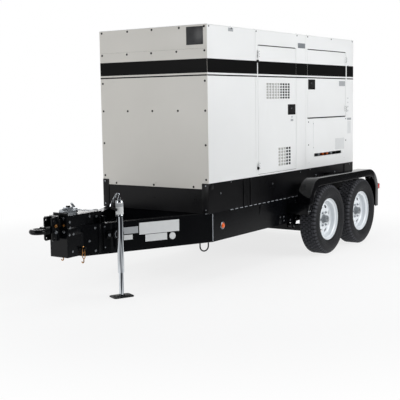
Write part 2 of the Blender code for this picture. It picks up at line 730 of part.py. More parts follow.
def build_equalizer(side, sign):
    half = EQUALIZER_HALF
    x = TANDEM_X
    outline = [
        (x - half, HANGER_Z - 0.015),
        (x + half, HANGER_Z - 0.015),
        (x + half, HANGER_Z - 0.001),
        (x + 0.018, HANGER_Z + 0.016),
        (x - 0.018, HANGER_Z + 0.016),
        (x - half, HANGER_Z - 0.001),
    ]
    near, far = sorted((sign * (RAIL_Y - SPRING_WIDTH / 2), sign * (RAIL_Y + SPRING_WIDTH / 2)))
    bore = rod((x, near - 0.01, HANGER_Z), (x, far + 0.01, HANGER_Z), HANGER_PIN + RUN, 12)
    bar = prism(outline, near, far)
    piece(f"equalizer_{side}", "black steel", [bar], [bore], pivot=(x, sign * RAIL_Y, HANGER_Z))


# ---- fenders --------------------------------------------------------------
def fender_path(inset, longer=0.0):
    """The fender's side outline moved inwards by inset, with both ends made longer downwards."""
    radius = FENDER_CORNER - inset
    front, rear = FENDER_FRONT + inset, FENDER_REAR - inset
    top = FENDER_TOP - inset
    path = [(front, FENDER_FRONT_Z - longer)]
    path += arc((front + radius, top - radius), radius, 180, 90, 5)
    path += arc((rear - radius, top - radius), radius, 90, 0, 5)
    path.append((rear, FENDER_REAR_Z - longer))
    return path


def build_fenders():
    for side, sign in SIDES.items():
        inner = FENDER_OUTER - FENDER_WIDTH
        outline = fender_path(0)
        outline += [(FENDER_REAR - 0.1, FENDER_REAR_Z), (FENDER_FRONT + 0.1, FENDER_FRONT_Z)]
        block = prism(outline, *sorted((sign * inner, sign * FENDER_OUTER)))
        behind = sorted((sign * (inner - 0.01), sign * (FENDER_OUTER - SHEET)))
        hollow = prism(fender_path(SHEET, 0.1), *behind)
        across = sorted((sign * (inner - 0.01), sign * (FENDER_OUTER + 0.01)))
        opening = prism(fender_path(VALANCE, 0.1), *across)
        rail_side = HALF + GAP
        front = side_box(
            (FENDER_FRONT + 0.0005, FENDER_FRONT + 0.070),
            (rail_side, FENDER_OUTER - 0.03),
            (RAIL_BOTTOM + 0.09, FENDER_FRONT_Z + 0.02),
            sign,
        )
        middle = side_box(
            (TANDEM_X - 0.03, TANDEM_X + 0.03),
            (rail_side, inner + 0.02),
            (FENDER_TOP - 0.045, FENDER_TOP - SHEET / 2),
            sign,
        )
        rear = side_box(
            (FENDER_REAR - 0.045, FENDER_REAR - 0.001),
            (rail_side, FENDER_OUTER - 0.03),
            (RAIL_BOTTOM + 0.09, RAIL_BOTTOM + 0.16),
            sign,
        )
        brackets = [front, middle, rear]
        piece(f"fender_{side}", "black enamel", [block], [hollow, opening], brackets)
        lamp = side_box(
            (FENDER_REAR + GAP, OVERALL_REAR),
            (FENDER_OUTER - 0.10, FENDER_OUTER - 0.01),
            (0.535, 0.600),
            sign,
        )
        piece(f"tail_lamp_{side}", "red plastic", [lamp])


# ---- base and enclosure ---------------------------------------------------
def build_base():
    """Containment pan with corner posts, ribs and two bearers for the machinery."""
    outer = box((0, -HALF, BASE_BOTTOM), (BODY_LENGTH, HALF, BASE_TOP))
    wall = BASE_WALL
    hollow = box(
        (wall, -HALF + wall, BASE_BOTTOM + wall),
        (BODY_LENGTH - wall, HALF - wall, BASE_TOP + 0.01),
    )
    post = HALF - CORNER_POST
    lowered = box((-0.01, -post, BASE_TOP - BASE_FRONT_DROP), (wall + 0.001, post, BASE_TOP + 0.01))
    bearers = [
        side_box(
            (wall * 0.7, BODY_LENGTH - wall * 0.7),
            (BEARER_OFFSET - BEARER_WIDTH / 2, BEARER_OFFSET + BEARER_WIDTH / 2),
            (BASE_BOTTOM + wall / 2, BEARER_TOP),
            sign,
        )
        for sign in SIDES.values()
    ]
    piece("skid_base", "black enamel", [outer], [hollow, lowered], bearers)

    tank = box(
        (0.45, -BEARER_OFFSET + BEARER_WIDTH / 2 + 0.02, BASE_BOTTOM + wall + GAP),
        (BODY_LENGTH - 0.55, BEARER_OFFSET - BEARER_WIDTH / 2 - 0.02, BASE_BOTTOM + wall + TANK_HEIGHT),
    )
    neck = rod((0.60, -0.15, BASE_BOTTOM + wall + TANK_HEIGHT - 0.01), (0.60, -0.15, BASE_TOP + 0.08), 0.03)
    piece("fuel_tank", "black steel", [tank, neck])

    low = BASE_BOTTOM + wall + GAP
    case = box((BODY_LENGTH - 0.50, -0.10, low), (BODY_LENGTH - 0.17, 0.07, low + 0.21))
    posts = [
        rod((BODY_LENGTH - x, 0.04, low + 0.20), (BODY_LENGTH - x, 0.04, low + 0.228), 0.009, 12)
        for x in (0.45, 0.22)
    ]
    piece("battery", "black plastic", [case, *posts])


def build_shell():
    post = HALF - CORNER_POST - GAP
    low = BASE_TOP - BASE_FRONT_DROP + GAP
    high = BASE_TOP + GAP
    front_outline = [
        (-HALF, high),
        (-post, high),
        (-post, low),
        (post, low),
        (post, high),
        (HALF, high),
        (HALF, WALL_TOP),
        (-HALF, WALL_TOP),
    ]
    panel = prism(front_outline, 0, SHEET)
    bmesh.ops.rotate(panel, cent=(0, 0, 0), matrix=Matrix.Rotation(math.pi / 2, 3, "Z"), verts=panel.verts)
    bmesh.ops.translate(panel, vec=(SHEET, 0, 0), verts=panel.verts)
    piece("enclosure_front", "white enamel", [panel])

    rear = box((BODY_LENGTH - SHEET, -HALF, BASE_TOP + GAP), (BODY_LENGTH, HALF, WALL_TOP))
    inlets = [
        box((BODY_LENGTH - 0.02, -0.35, z), (BODY_LENGTH + 0.02, 0.35, z + 0.025))
        for z in (BASE_TOP + 0.10 + 0.05 * k for k in range(6))
    ]
    piece("enclosure_rear", "white enamel", [rear], inlets)

    roof = box((0, -HALF, ROOF_UNDER), (BODY_LENGTH, HALF, ROOF_TOP))
    width, length = ROOF_SLOT
    slots = [
        box((x, -length / 2, ROOF_UNDER - 0.01), (x + width, length / 2, ROOF_TOP + 0.01))
        for x in (0.04 + ROOF_SLOT_PITCH * k for k in range(ROOF_SLOTS))
    ]
    outlet = rod((*exhaust_centre(), ROOF_UNDER - 0.01), (*exhaust_centre(), ROOF_TOP + 0.01), 0.06)
    piece("enclosure_roof", "white enamel", [roof], [*slots, outlet])

    for side, sign in SIDES.items():
        build_side_wall(side, sign)


def exhaust_centre():
    return (ENGINE_FRONT + 0.30, HALF - 0.20)


def build_side_wall(side, sign):
    inside = SHEET + GAP
    wall = side_box((inside, BODY_LENGTH - inside), (HALF - SHEET, HALF), (BASE_TOP + GAP, WALL_TOP), sign)
    through = (HALF - 0.02, HALF + 0.02)
    cuts = [side_box((FRONT_PANEL, ENGINE_DOOR_REAR), through, (ENGINE_DOOR_BOTTOM, DOOR_TOP), sign)]
    if side == "left":
        cuts.append(side_box((CONTROL_LEFT, CONTROL_RIGHT), through, (CONTROL_BOTTOM, DOOR_TOP), sign))
        low = BASE_TOP + OUTLET_RISE
        start = CONTROL_RIGHT - 0.112 - OUTLET_LENGTH
        cuts.append(side_box((start, start + OUTLET_LENGTH), through, (low, low + OUTLET_HEIGHT), sign))
    piece(f"enclosure_{side}", "white enamel", [wall], cuts)


def build_door(name, latch_name, sign, x, z, hinge_front, latch_z):
    """A flush door: skin with a folded edge, two hinges, and a cup that holds the paddle."""
    x0, x1 = x[0] + DOOR_GAP, x[1] - DOOR_GAP
    z0, z1 = z[0] + DOOR_GAP, z[1] - DOOR_GAP
    deep = HALF - TRAY_DEPTH
    slab = side_box((x0, x1), (deep, HALF), (z0, z1), sign)
    tray = side_box((x0 + SHEET, x1 - SHEET), (deep - 0.01, HALF - SHEET), (z0 + SHEET, z1 - SHEET), sign)

    away = -1 if hinge_front else 1  # from the door towards its hinge
    edge, free = (x0, x1) if hinge_front else (x1, x0)
    hinge_x = edge + away * (DOOR_GAP + HINGE_RADIUS - 0.002)
    hinge_y = HALF + HINGE_RADIUS + RUN
    hinges = []
    for centre in (z0 + HINGE_INSET, z1 - HINGE_INSET):
        low, high = centre - HINGE_LENGTH / 2, centre + HINGE_LENGTH / 2
        ends = [(hinge_x, sign * hinge_y, height) for height in (low, high)]
        hinges.append(rod(*ends, HINGE_RADIUS, 12))
        leaf = sorted((hinge_x, edge - away * 0.03))
        hinges.append(side_box(leaf, (HALF - RUN, HALF + 0.004), (low, high), sign))
    # The leaves keep clear of the wall where they cross the door's gap.
    crossing = sorted((hinge_x + away * 0.012, edge))
    relief = side_box(crossing, (HALF - 0.002, HALF + RUN), (z0 + 0.02, z1 - 0.02), sign)

    cup = sorted((free + away * 0.014, free + away * (0.014 + LATCH_WIDTH)))
    bottom, top = latch_z - LATCH_HEIGHT / 2, latch_z + LATCH_HEIGHT / 2
    rim = 0.004
    back = side_box(cup, (HALF - LATCH_CUP, HALF - 0.001), (bottom, top), sign)
    pocket = side_box(
        (cup[0] + rim, cup[1] - rim),
        (HALF - LATCH_CUP + SHEET, HALF + 0.01),
        (bottom + rim, top - rim),
        sign,
    )
    origin = (hinge_x, sign * hinge_y, 0)
    piece(name, "white enamel", [slab], [tray], [back, *hinges], [pocket, relief], origin)

    pin_z = top - rim - 0.011
    pin_y = HALF - PADDLE - 0.002
    blade = side_box(
        (cup[0] + rim + 0.002, cup[1] - rim - 0.002),
        (HALF - PADDLE, HALF),
        (bottom + rim + 0.014, pin_z + 0.003),
        sign,
    )
    ends = (cup[0] + rim + GAP, cup[1] - rim - GAP)
    pin = rod((ends[0], sign * pin_y, pin_z), (ends[1], sign * pin_y, pin_z), 0.004, 12)
    piece(latch_name, "black plastic", [blade, pin], pivot=(sum(cup) / 2, sign * pin_y, pin_z))


def build_doors():
    for side, sign in SIDES.items():
        build_door(
            f"engine_door_{side}",
            f"engine_latch_{side}",
            sign,
            (FRONT_PANEL, ENGINE_DOOR_REAR),
            (ENGINE_DOOR_BOTTOM, DOOR_TOP),
            True,
            BASE_TOP + 0.598,
        )
    build_door(
        "control_door",
        "control_latch",
        -1,
        (CONTROL_LEFT, CONTROL_RIGHT),
        (CONTROL_BOTTOM, DOOR_TOP),
        False,
        CONTROL_BOTTOM + 0.336,
    )


# ---- machinery ------------------------------------------------------------
CRANK_Z = BASE_TOP + CRANK_RISE
FAN_Z = CRANK_Z + 0.10


def build_machinery():
    seat = BEARER_TOP + GAP
    wide = HALF - 0.125
    core = box((RADIATOR_X, -wide, seat), (RADIATOR_X + RADIATOR_THICK, wide, ROOF_TOP - 0.22))
    shroud_rear = RADIATOR_X + RADIATOR_THICK + SHROUD
    shroud = box(
        (RADIATOR_X + RADIATOR_THICK - 0.005, -FAN_RADIUS - 0.03, FAN_Z - FAN_RADIUS - 0.03),
        (shroud_rear, FAN_RADIUS + 0.03, FAN_Z + FAN_RADIUS + 0.03),
    )
    opening = rod(
        (RADIATOR_X + RADIATOR_THICK + 0.012, 0, FAN_Z),
        (shroud_rear + 0.05, 0, FAN_Z),
        FAN_RADIUS + 0.015,
        24,
    )
    piece("radiator", "aluminium", [core, shroud], [opening])

    fan_x = shroud_rear - 0.030
    hub = rod((fan_x - 0.02, 0, FAN_Z), (fan_x + 0.035, 0, FAN_Z), 0.06)
    blades = []
    for k in range(6):
        blade = box((-0.003, -0.035, 0.04), (0.003, 0.035, FAN_RADIUS - 0.004))
        twist = Matrix.Rotation(math.radians(35), 4, "Z")
        turn = Matrix.Rotation(math.tau * k / 6, 4, "X")
        place = Matrix.Translation((fan_x, 0, FAN_Z))
        bmesh.ops.transform(blade, matrix=place @ turn @ twist, verts=blade.verts)
        blades.append(blade)
    bore = rod((fan_x - 0.010, 0, FAN_Z), (fan_x + 0.05, 0, FAN_Z), 0.012 + RUN, 12)
    piece("cooling_fan", "black plastic", [hub, *blades], [bore], pivot=(fan_x, 0, FAN_Z))

    rear = ENGINE_FRONT + ENGINE_LENGTH
    block = box((ENGINE_FRONT, -0.23, CRANK_Z - 0.13), (rear, 0.23, CRANK_Z + 0.28))
    pan = box((ENGINE_FRONT + 0.08, -0.15, CRANK_Z - 0.28), (rear - 0.15, 0.15, CRANK_Z - 0.12))
    head = box((ENGINE_FRONT + 0.04, -0.12, CRANK_Z + 0.27), (rear - 0.06, 0.12, CRANK_Z + 0.41))
    manifold = box((ENGINE_FRONT + 0.08, 0.11, CRANK_Z + 0.295), (rear - 0.12, 0.20, CRANK_Z + 0.37))
    turbo_x = exhaust_centre()[0] + 0.12
    turbo = rod((turbo_x, 0.155, CRANK_Z + 0.36), (turbo_x, 0.155, CRANK_Z + 0.47), 0.04)
    flywheel = rod((rear - 0.01, 0, CRANK_Z), (rear + 0.08, 0, CRANK_Z), 0.25, 24)
    nose = rod((fan_x - 0.008, 0, FAN_Z), (ENGINE_FRONT + 0.01, 0, FAN_Z), 0.012, 12)
    pulley = rod((fan_x + 0.055, 0, FAN_Z), (fan_x + 0.085, 0, FAN_Z), 0.06)
    foot_end = BEARER_OFFSET + BEARER_WIDTH / 2
    feet = []
    for sign in SIDES.values():
        for x in (ENGINE_FRONT + 0.12, rear - 0.16):
            feet.append(side_box((x - 0.05, x + 0.05), (0.22, foot_end), (seat, CRANK_Z - 0.07), sign))
    filter_ends = [(ENGINE_FRONT + ahead, -0.33, CRANK_Z + 0.30) for ahead in (0.15, 0.50)]
    cleaner = rod(*filter_ends, 0.10)
    low, high = CRANK_Z + 0.18, CRANK_Z + 0.27
    bracket = box((ENGINE_FRONT + 0.25, -0.26, low), (ENGINE_FRONT + 0.40, -0.20, high))
    piece(
        "engine",
        "cast iron",
        [block, pan, head, manifold, turbo, flywheel, nose, pulley, *feet, cleaner, bracket],
    )

    start = rear + 0.08 + GAP
    end = start + ALTERNATOR_LENGTH
    body = rod((start, 0, CRANK_Z), (end, 0, CRANK_Z), ALTERNATOR_RADIUS, 24)
    terminal = box((start + 0.20, -0.16, CRANK_Z + 0.20), (end - 0.15, 0.16, CRANK_Z + 0.36))
    feet = [
        side_box((x - 0.05, x + 0.05), (0.10, foot_end), (seat, CRANK_Z - 0.18), sign)
        for sign in SIDES.values()
        for x in (start + 0.15, end - 0.12)
    ]
    piece("alternator", "grey enamel", [body, terminal, *feet])

    x, y = exhaust_centre()
    muffler_z = CRANK_Z + 0.47 + GAP + MUFFLER_RADIUS
    can = rod((x - 0.12, y, muffler_z), (x + 0.62, y, muffler_z), MUFFLER_RADIUS)
    stack = rod((x, y, muffler_z), (x, y, ROOF_TOP), 0.045)
    inlet = box((x + 0.09, 0.12, muffler_z - MUFFLER_RADIUS), (x + 0.15, y, muffler_z - 0.02))
    piece("muffler", "zinc", [can, stack, inlet])


def build_controls():
    """Control cabinet behind the left rear door, with its emergency stop."""
    outer = HALF - SHEET - GAP
    margin = 0.024
    x0, x1 = CONTROL_LEFT - margin, CONTROL_RIGHT + margin
    z0, z1 = CONTROL_BOTTOM - margin, DOOR_TOP + margin
    face = HALF - TRAY_DEPTH - 0.010
    cabinet = side_box((x0, x1), (ALTERNATOR_RADIUS + 0.01, outer), (z0, z1), -1)
    pocket = side_box(
        (CONTROL_LEFT - 0.002, CONTROL_RIGHT + 0.002),
        (face, HALF),
        (CONTROL_BOTTOM - 0.002, DOOR_TOP + 0.002),
        -1,
    )
    middle = (CONTROL_LEFT + CONTROL_RIGHT) / 2
    breaker_z = (CONTROL_BOTTOM + 0.08, CONTROL_BOTTOM + 0.26)
    breaker = side_box((middle - 0.07, middle + 0.07), (face - 0.005, face + 0.006), breaker_z, -1)
    button_x, button_z = CONTROL_RIGHT - 0.12, CONTROL_BOTTOM + 0.14
    hole = rod((button_x, -face - 0.01, button_z), (button_x, -face + 0.03, button_z), 0.010 + RUN, 12)
    piece("control_panel", "grey enamel", [cabinet], [pocket, hole], [breaker])

    top = -face - 0.004
    shaft = rod((button_x, top - 0.001, button_z), (button_x, -face + 0.020, button_z), 0.010, 12)
    button = rod((button_x, top - 0.005, button_z), (button_x, top, button_z), 0.018)
    piece("emergency_stop", "red plastic", [button, shaft], pivot=(button_x, -face, button_z))


build_frame()
build_tow_gear()
build_jack()
build_running_gear()
build_fenders()
build_base()
build_shell()
build_doors()
build_machinery()
build_controls()
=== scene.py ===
"""Look of a towable diesel generator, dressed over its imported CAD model.

Lengths are in metres. While a piece is being shaped, X is counted from the enclosure's front face
and Y "outwards" from the middle plane on the side that is named; Shape.make puts it in place.
"""

import logging
import math
from dataclasses import dataclass, field
from enum import Enum
from typing import Iterable, Sequence

import bmesh
import bpy
from mathutils import Matrix, Vector


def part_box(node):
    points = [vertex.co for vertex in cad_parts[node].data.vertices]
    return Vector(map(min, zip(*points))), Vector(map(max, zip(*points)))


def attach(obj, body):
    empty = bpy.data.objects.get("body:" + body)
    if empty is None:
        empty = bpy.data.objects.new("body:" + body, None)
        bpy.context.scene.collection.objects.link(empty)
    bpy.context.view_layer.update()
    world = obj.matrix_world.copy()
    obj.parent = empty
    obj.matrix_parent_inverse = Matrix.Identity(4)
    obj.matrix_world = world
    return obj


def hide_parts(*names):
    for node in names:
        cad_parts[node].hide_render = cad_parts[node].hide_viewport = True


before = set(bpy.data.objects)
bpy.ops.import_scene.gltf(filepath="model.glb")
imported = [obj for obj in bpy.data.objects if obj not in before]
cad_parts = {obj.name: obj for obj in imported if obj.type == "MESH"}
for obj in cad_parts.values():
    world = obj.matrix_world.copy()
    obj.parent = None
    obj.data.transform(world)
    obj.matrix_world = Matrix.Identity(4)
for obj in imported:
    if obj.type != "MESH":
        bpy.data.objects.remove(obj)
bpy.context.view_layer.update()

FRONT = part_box("enclosure_front")[0].x
LOG = logging.getLogger("generator")
Triple = Sequence[float]
Pair = tuple[float, float]


class Side(Enum):
    """The trailer's two sides, with the sign of their Y."""

    LEFT = -1
    RIGHT = 1

    @property
    def word(self) -> str:
        """The side's name as the CAD nodes spell it."""
        return self.name.lower()


class Axis(Enum):
    """Directions that an outline is pushed along."""

    ALONG_Y = "y"
    ALONG_Z = "z"
    ALONG_X = "x"


# ---- finishes -------------------------------------------------------------
def linear(colour: str) -> tuple[float, float, float, float]:
    """Turns an sRGB hex colour to linear RGBA.

    Args:
        colour: Six hex digits.

    Returns:
        Linear red, green and blue, and an alpha of 1.
    """
    parts = [int(colour[i : i + 2], 16) / 255 for i in (0, 2, 4)]
    turned = [c / 12.92 if c <= 0.04045 else ((c + 0.055) / 1.055) ** 2.4 for c in parts]
    return (turned[0], turned[1], turned[2], 1.0)


def add_node(tree: bpy.types.NodeTree, kind: str, inputs: dict | None = None, **settings) -> bpy.types.Node:
    """Adds a node with its settings and links.

    Args:
        tree: The node tree that takes it.
        kind: The node's type name.
        inputs: Input name or number to a value, or to the socket that feeds it.
        **settings: The node's own properties.

    Returns:
        The new node.
    """
    node = tree.nodes.new(kind)
    for key, value in settings.items():
        setattr(node, key, value)
    for key, value in (inputs or {}).items():
        if isinstance(value, bpy.types.NodeSocket):
            tree.links.new(value, node.inputs[key])
        else:
            node.inputs[key].default_value = value
    return node


@dataclass(frozen=True)
class Finish:
    """A surface finish: two close colours, a grain and a bump, all sized in millimetres.

    Attributes:
        name: What the material is.
        colour: Main sRGB colour.
        tint: Second sRGB colour that drifts over the first.
        patch: Size of the drifting patches, in mm.
        rough: Middle roughness.
        spread: How far the roughness drifts either way.
        metallic: 1 for bare or plated metal.
        grain: Size of the fine surface grain, in mm.
        relief: Height of the grain, in mm.
        coat: Weight of a clear coat.
        ior: Index of refraction.
        stretch: Scale of the grain along X, Y and Z, for brushed or rolled metal.
    """

    name: str
    colour: str
    tint: str
    patch: float = 300.0
    rough: float = 0.4
    spread: float = 0.06
    metallic: float = 0.0
    grain: float = 4.0
    relief: float = 0.05
    coat: float = 0.0
    ior: float = 1.5
    stretch: tuple[float, float, float] = (1.0, 1.0, 1.0)

    def material(self) -> bpy.types.Material:
        """The finish as a material, built on first use.

        Returns:
            The material.
        """
        found = bpy.data.materials.get(self.name)
        if found:
            return found
        made = bpy.data.materials.new(self.name)
        made.use_nodes = True
        tree = made.node_tree
        tree.nodes.clear()
        place = add_node(tree, "ShaderNodeTexCoord").outputs["Object"]
        turned = add_node(tree, "ShaderNodeMapping", {"Vector": place, "Scale": self.stretch})
        drift = add_node(
            tree,
            "ShaderNodeTexNoise",
            {"Vector": place, "Scale": 1000 / self.patch, "Detail": 4.0, "Roughness": 0.55},
        )
        colour = add_node(
            tree,
            "ShaderNodeMix",
            {"Factor": drift.outputs["Fac"], "A": linear(self.colour), "B": linear(self.tint)},
            data_type="RGBA",
        )
        fine = add_node(
            tree,
            "ShaderNodeTexNoise",
            {"Vector": turned.outputs["Vector"], "Scale": 1000 / self.grain, "Detail": 3.0},
        )
        gloss = add_node(
            tree,
            "ShaderNodeMapRange",
            {
                "Value": self.mottle(tree, drift, fine),
                "From Min": 0.3,
                "From Max": 0.7,
                "To Min": max(0.02, self.rough - self.spread),
                "To Max": self.rough + self.spread,
            },
        )
        bump = add_node(
            tree,
            "ShaderNodeBump",
            {"Height": self.height(tree, place, fine), "Strength": 0.6, "Distance": self.relief / 1000},
        )
        shader = add_node(
            tree,
            "ShaderNodeBsdfPrincipled",
            {
                "Base Color": self.paint(tree, place, colour.outputs["Result"]),
                "Roughness": gloss.outputs["Result"],
                "Normal": bump.outputs["Normal"],
            },
        )
        # A value that is the same all over sits on the shader's own socket.
        shader.inputs["Metallic"].default_value = self.metallic
        shader.inputs["Coat Weight"].default_value = self.coat
        shader.inputs["Coat Roughness"].default_value = 0.08
        if not self.metallic:
            shader.inputs["IOR"].default_value = self.ior
        end = tree.nodes.new("ShaderNodeOutputMaterial")
        tree.links.new(shader.outputs["BSDF"], end.inputs["Surface"])
        return made

    def mottle(
        self, tree: bpy.types.NodeTree, drift: bpy.types.Node, fine: bpy.types.Node
    ) -> bpy.types.NodeSocket:
        """Half drift and half grain, which the roughness follows.

        Args:
            tree: The material's node tree.
            drift: The broad noise.
            fine: The fine noise.

        Returns:
            The mixed value.
        """
        both = add_node(
            tree,
            "ShaderNodeMath",
            {0: drift.outputs["Fac"], 1: fine.outputs["Fac"]},
            operation="ADD",
        )
        return add_node(
            tree, "ShaderNodeMath", {0: both.outputs[0], 1: 0.5}, operation="MULTIPLY"
        ).outputs[0]

    def height(
        self, tree: bpy.types.NodeTree, place: bpy.types.NodeSocket, fine: bpy.types.Node
    ) -> bpy.types.NodeSocket:
        """The height that the bump reads: the fine grain."""
        return fine.outputs["Fac"]

    def paint(
        self, tree: bpy.types.NodeTree, place: bpy.types.NodeSocket, colour: bpy.types.NodeSocket
    ) -> bpy.types.NodeSocket:
        """The colour that the shader reads: the drifting colour."""
        return colour


@dataclass(frozen=True)
class FinnedCore(Finish):
    """A radiator's core: flat tubes with folded fins between them, one every pitch mm, with painted shade in
    the spaces between the fins.
    """

    pitch: float = 9.0

    def height(
        self, tree: bpy.types.NodeTree, place: bpy.types.NodeSocket, fine: bpy.types.Node
    ) -> bpy.types.NodeSocket:
        """Bands across the core.

        Args:
            tree: The material's node tree.
            place: Where the pattern is read.
            fine: The fine noise; not used.

        Returns:
            The height.
        """
        waves = add_node(
            tree,
            "ShaderNodeTexWave",
            {"Vector": place, "Scale": 1000 / self.pitch / 20},
            bands_direction="Z",
        )
        return waves.outputs["Fac"]

    def paint(
        self, tree: bpy.types.NodeTree, place: bpy.types.NodeSocket, colour: bpy.types.NodeSocket
    ) -> bpy.types.NodeSocket:
        """Paints shade into the spaces between the fins.

        Args:
            tree: The material's node tree.
            place: Where the pattern is read.
            colour: The drifting colour.

        Returns:
            The colour.
        """
        waves = add_node(
            tree,
            "ShaderNodeTexWave",
            {"Vector": place, "Scale": 1000 / self.pitch / 20},
            bands_direction="Z",
        )
        # Painted shade: the gaps between the fins darken toward near black.
        dark = add_node(
            tree,
            "ShaderNodeMix",
            {"Factor": waves.outputs["Fac"], "A": linear("1B1C1E"), "B": colour},
            data_type="RGBA",
        )
        return dark.outputs["Result"]


@dataclass(frozen=True)
class DrawnTube(Finish):
    """Plated tube with a painted reflection: darker bands along Z, one every streak mm or so, that stand in
    for the dim room mirrored in the tube.
    """

    streak: float = 11.0
    # Colour of the painted reflection bands.
    dark: str = "3C4046"

    def paint(
        self, tree: bpy.types.NodeTree, place: bpy.types.NodeSocket, colour: bpy.types.NodeSocket
    ) -> bpy.types.NodeSocket:
        """Paints the dark reflection bands over the plate.

        Args:
            tree: The material's node tree.
            place: Where the pattern is read.
            colour: The drifting colour.

        Returns:
            The colour.
        """
        long = add_node(tree, "ShaderNodeMapping", {"Vector": place, "Scale": (1.0, 1.0, 0.03)})
        lines = add_node(
            tree,
            "ShaderNodeTexNoise",
            {"Vector": long.outputs["Vector"], "Scale": 1000 / self.streak, "Detail": 1.0},
        )
        share = add_node(
            tree,
            "ShaderNodeMapRange",
            {"Value": lines.outputs["Fac"], "From Min": 0.40, "From Max": 0.56, "To Min": 1.0, "To Max": 0.0},
        )
        # Painted reflection: the plate turns to the dark colour in bands along Z.
        drawn = add_node(
            tree,
            "ShaderNodeMix",
            {"Factor": share.outputs["Result"], "A": colour, "B": linear(self.dark)},
            data_type="RGBA",
        )
        return drawn.outputs["Result"]


# Polyester powder coat, baked on sheet steel: a faint orange peel a few millimetres across.
WHITE = Finish(
    "white powder coat on sheet steel", "E9EAEA", "E3E4E3", 500, 0.42, 0.05, grain=3.0, relief=0.02
)
# The front sheet carries the same powder coat, painted a shade darker and warmer: painted shade for the face
# that the key light passes by.
SHADE_WARM_WHITE = Finish(
    "warm white powder coat on sheet steel", "DEDBD4", "D6D3CC", 420, 0.4, 0.05, grain=3.0, relief=0.02
)
# Two-pack enamel over welded steel: deep gloss with a light peel. The low index keeps it near black.
BLACK = Finish("black chassis enamel", "060709", "0A0B0E", 260, 0.2, 0.06, grain=7.0, relief=0.05, ior=1.28)
# The containment base is rolled and sprayed thinner, so it is flatter than the chassis.
BASE = Finish(
    "semi-gloss black base enamel", "060608", "0B0B0E", 180, 0.32, 0.08, grain=5.0, relief=0.06, ior=1.28
)
# Rolled mudguard sheet: the glossiest black.
GUARD = Finish(
    "polished black mudguard enamel", "060608", "09090B", 300, 0.07, 0.02, grain=9.0, relief=0.02, ior=1.34
)
# Forged and stamped suspension parts dipped in satin black.
FORGED = Finish(
    "satin black forged steel", "0C0D0F", "141518", 60, 0.45, 0.1, grain=2.5, relief=0.12, ior=1.32
)
# Weld bead painted light grey, lighter than the enamel: a painted highlight that stands in for the glints on
# the stitch welds.
HIGHLIGHT_WELD = Finish("grey primed weld bead", "B9BDC2", "9EA2A8", 8, 0.35, 0.08, 0.3, 1.5, 0.1)
VINYL = Finish("black vinyl stripe", "030304", "050506", 300, 0.42, 0.03, grain=6.0, relief=0.01, ior=1.18)
# Blank stickers keep one neutral colour.
LABEL = Finish("blank polyester label", "D9DBDB", "CFD1D1", 40, 0.38, 0.04, grain=2.0, relief=0.01)
GREY_LABEL = Finish("blank grey polyester label", "A9ACAE", "9EA1A4", 40, 0.4, 0.04, grain=2.0, relief=0.01)
BADGE = Finish(
    "blank dark polyester badge", "141517", "2C2D30", 50, 0.3, 0.04, grain=2.0, relief=0.01, ior=1.4
)
WORK_LIGHT = Finish("blank grey moulded cover", "7E8286", "777B7F", 50, 0.4, 0.04, grain=1.0, relief=0.02)
PLATE = Finish("blank anodised plate", "B9BCBE", "AEB1B4", 60, 0.35, 0.05, 0.7, 1.2, 0.02, stretch=(1, 12, 1))
# Cured tyre rubber: dull, with a fine mould texture.
RUBBER = Finish("vulcanised tyre rubber", "121316", "1B1C20", 45, 0.66, 0.1, grain=2.2, relief=0.25, ior=1.42)
# The blocks are worn a shade greyer than the moulded grooves.
TREAD = Finish("scuffed tread rubber", "35363B", "434449", 30, 0.78, 0.08, grain=2.0, relief=0.35)
RIM = Finish(
    "white baked enamel on pressed steel", "EDF1F4", "E4E9ED", 120, 0.26, 0.05, grain=5.0, relief=0.03,
    coat=0.3
)
# Bright zinc with a clear passivate, and a painted reflection: dark streaks along the drawn tube stand in for
# the dim room mirrored in it.
CHROME = DrawnTube(
    "bright plated drawn tube", "E8ECF0", "CDD2D8", 30, 0.07, 0.03, 1.0, 1.6, 0.003, stretch=(1, 1, 0.08)
)
ZINC = Finish("clear zinc plated steel", "B4B8BC", "989DA3", 14, 0.3, 0.1, 1.0, 1.8, 0.05)
YELLOW_ZINC = Finish("yellow zinc plated steel", "D9A35A", "9C6E52", 9, 0.3, 0.1, 1.0, 1.5, 0.05)
DARK_IRON = Finish("painted cast iron", "2A2D2E", "383B3C", 35, 0.55, 0.1, 0.2, 2.0, 0.3)
GREY = Finish("grey machine enamel", "7D8286", "8A8F92", 90, 0.42, 0.06, grain=3.0, relief=0.08)
ALUMINIUM = Finish("sand cast aluminium", "A6A9AC", "8F9295", 25, 0.45, 0.1, 0.9, 1.4, 0.15)
CORE = FinnedCore("brazed aluminium radiator core", "8B8E91", "7B7E81", 60, 0.5, 0.08, 0.8, 2.0, 1.5)
PLASTIC = Finish(
    "black glass-filled nylon", "0A0A0B", "121213", 20, 0.48, 0.08, grain=0.9, relief=0.06, ior=1.35
)
STOP_RED = Finish(
    "red moulded thermoplastic", "B5150F", "A5120D", 30, 0.25, 0.05, grain=1.0, relief=0.02, coat=0.3
)
AMBER = Finish("amber acrylic lens", "F0660F", "E2560A", 18, 0.16, 0.04, grain=4.0, relief=0.3, coat=0.6)
RED_LENS = Finish("red acrylic lens", "C0140E", "A00F0A", 14, 0.16, 0.04, grain=4.0, relief=0.3, coat=0.6)
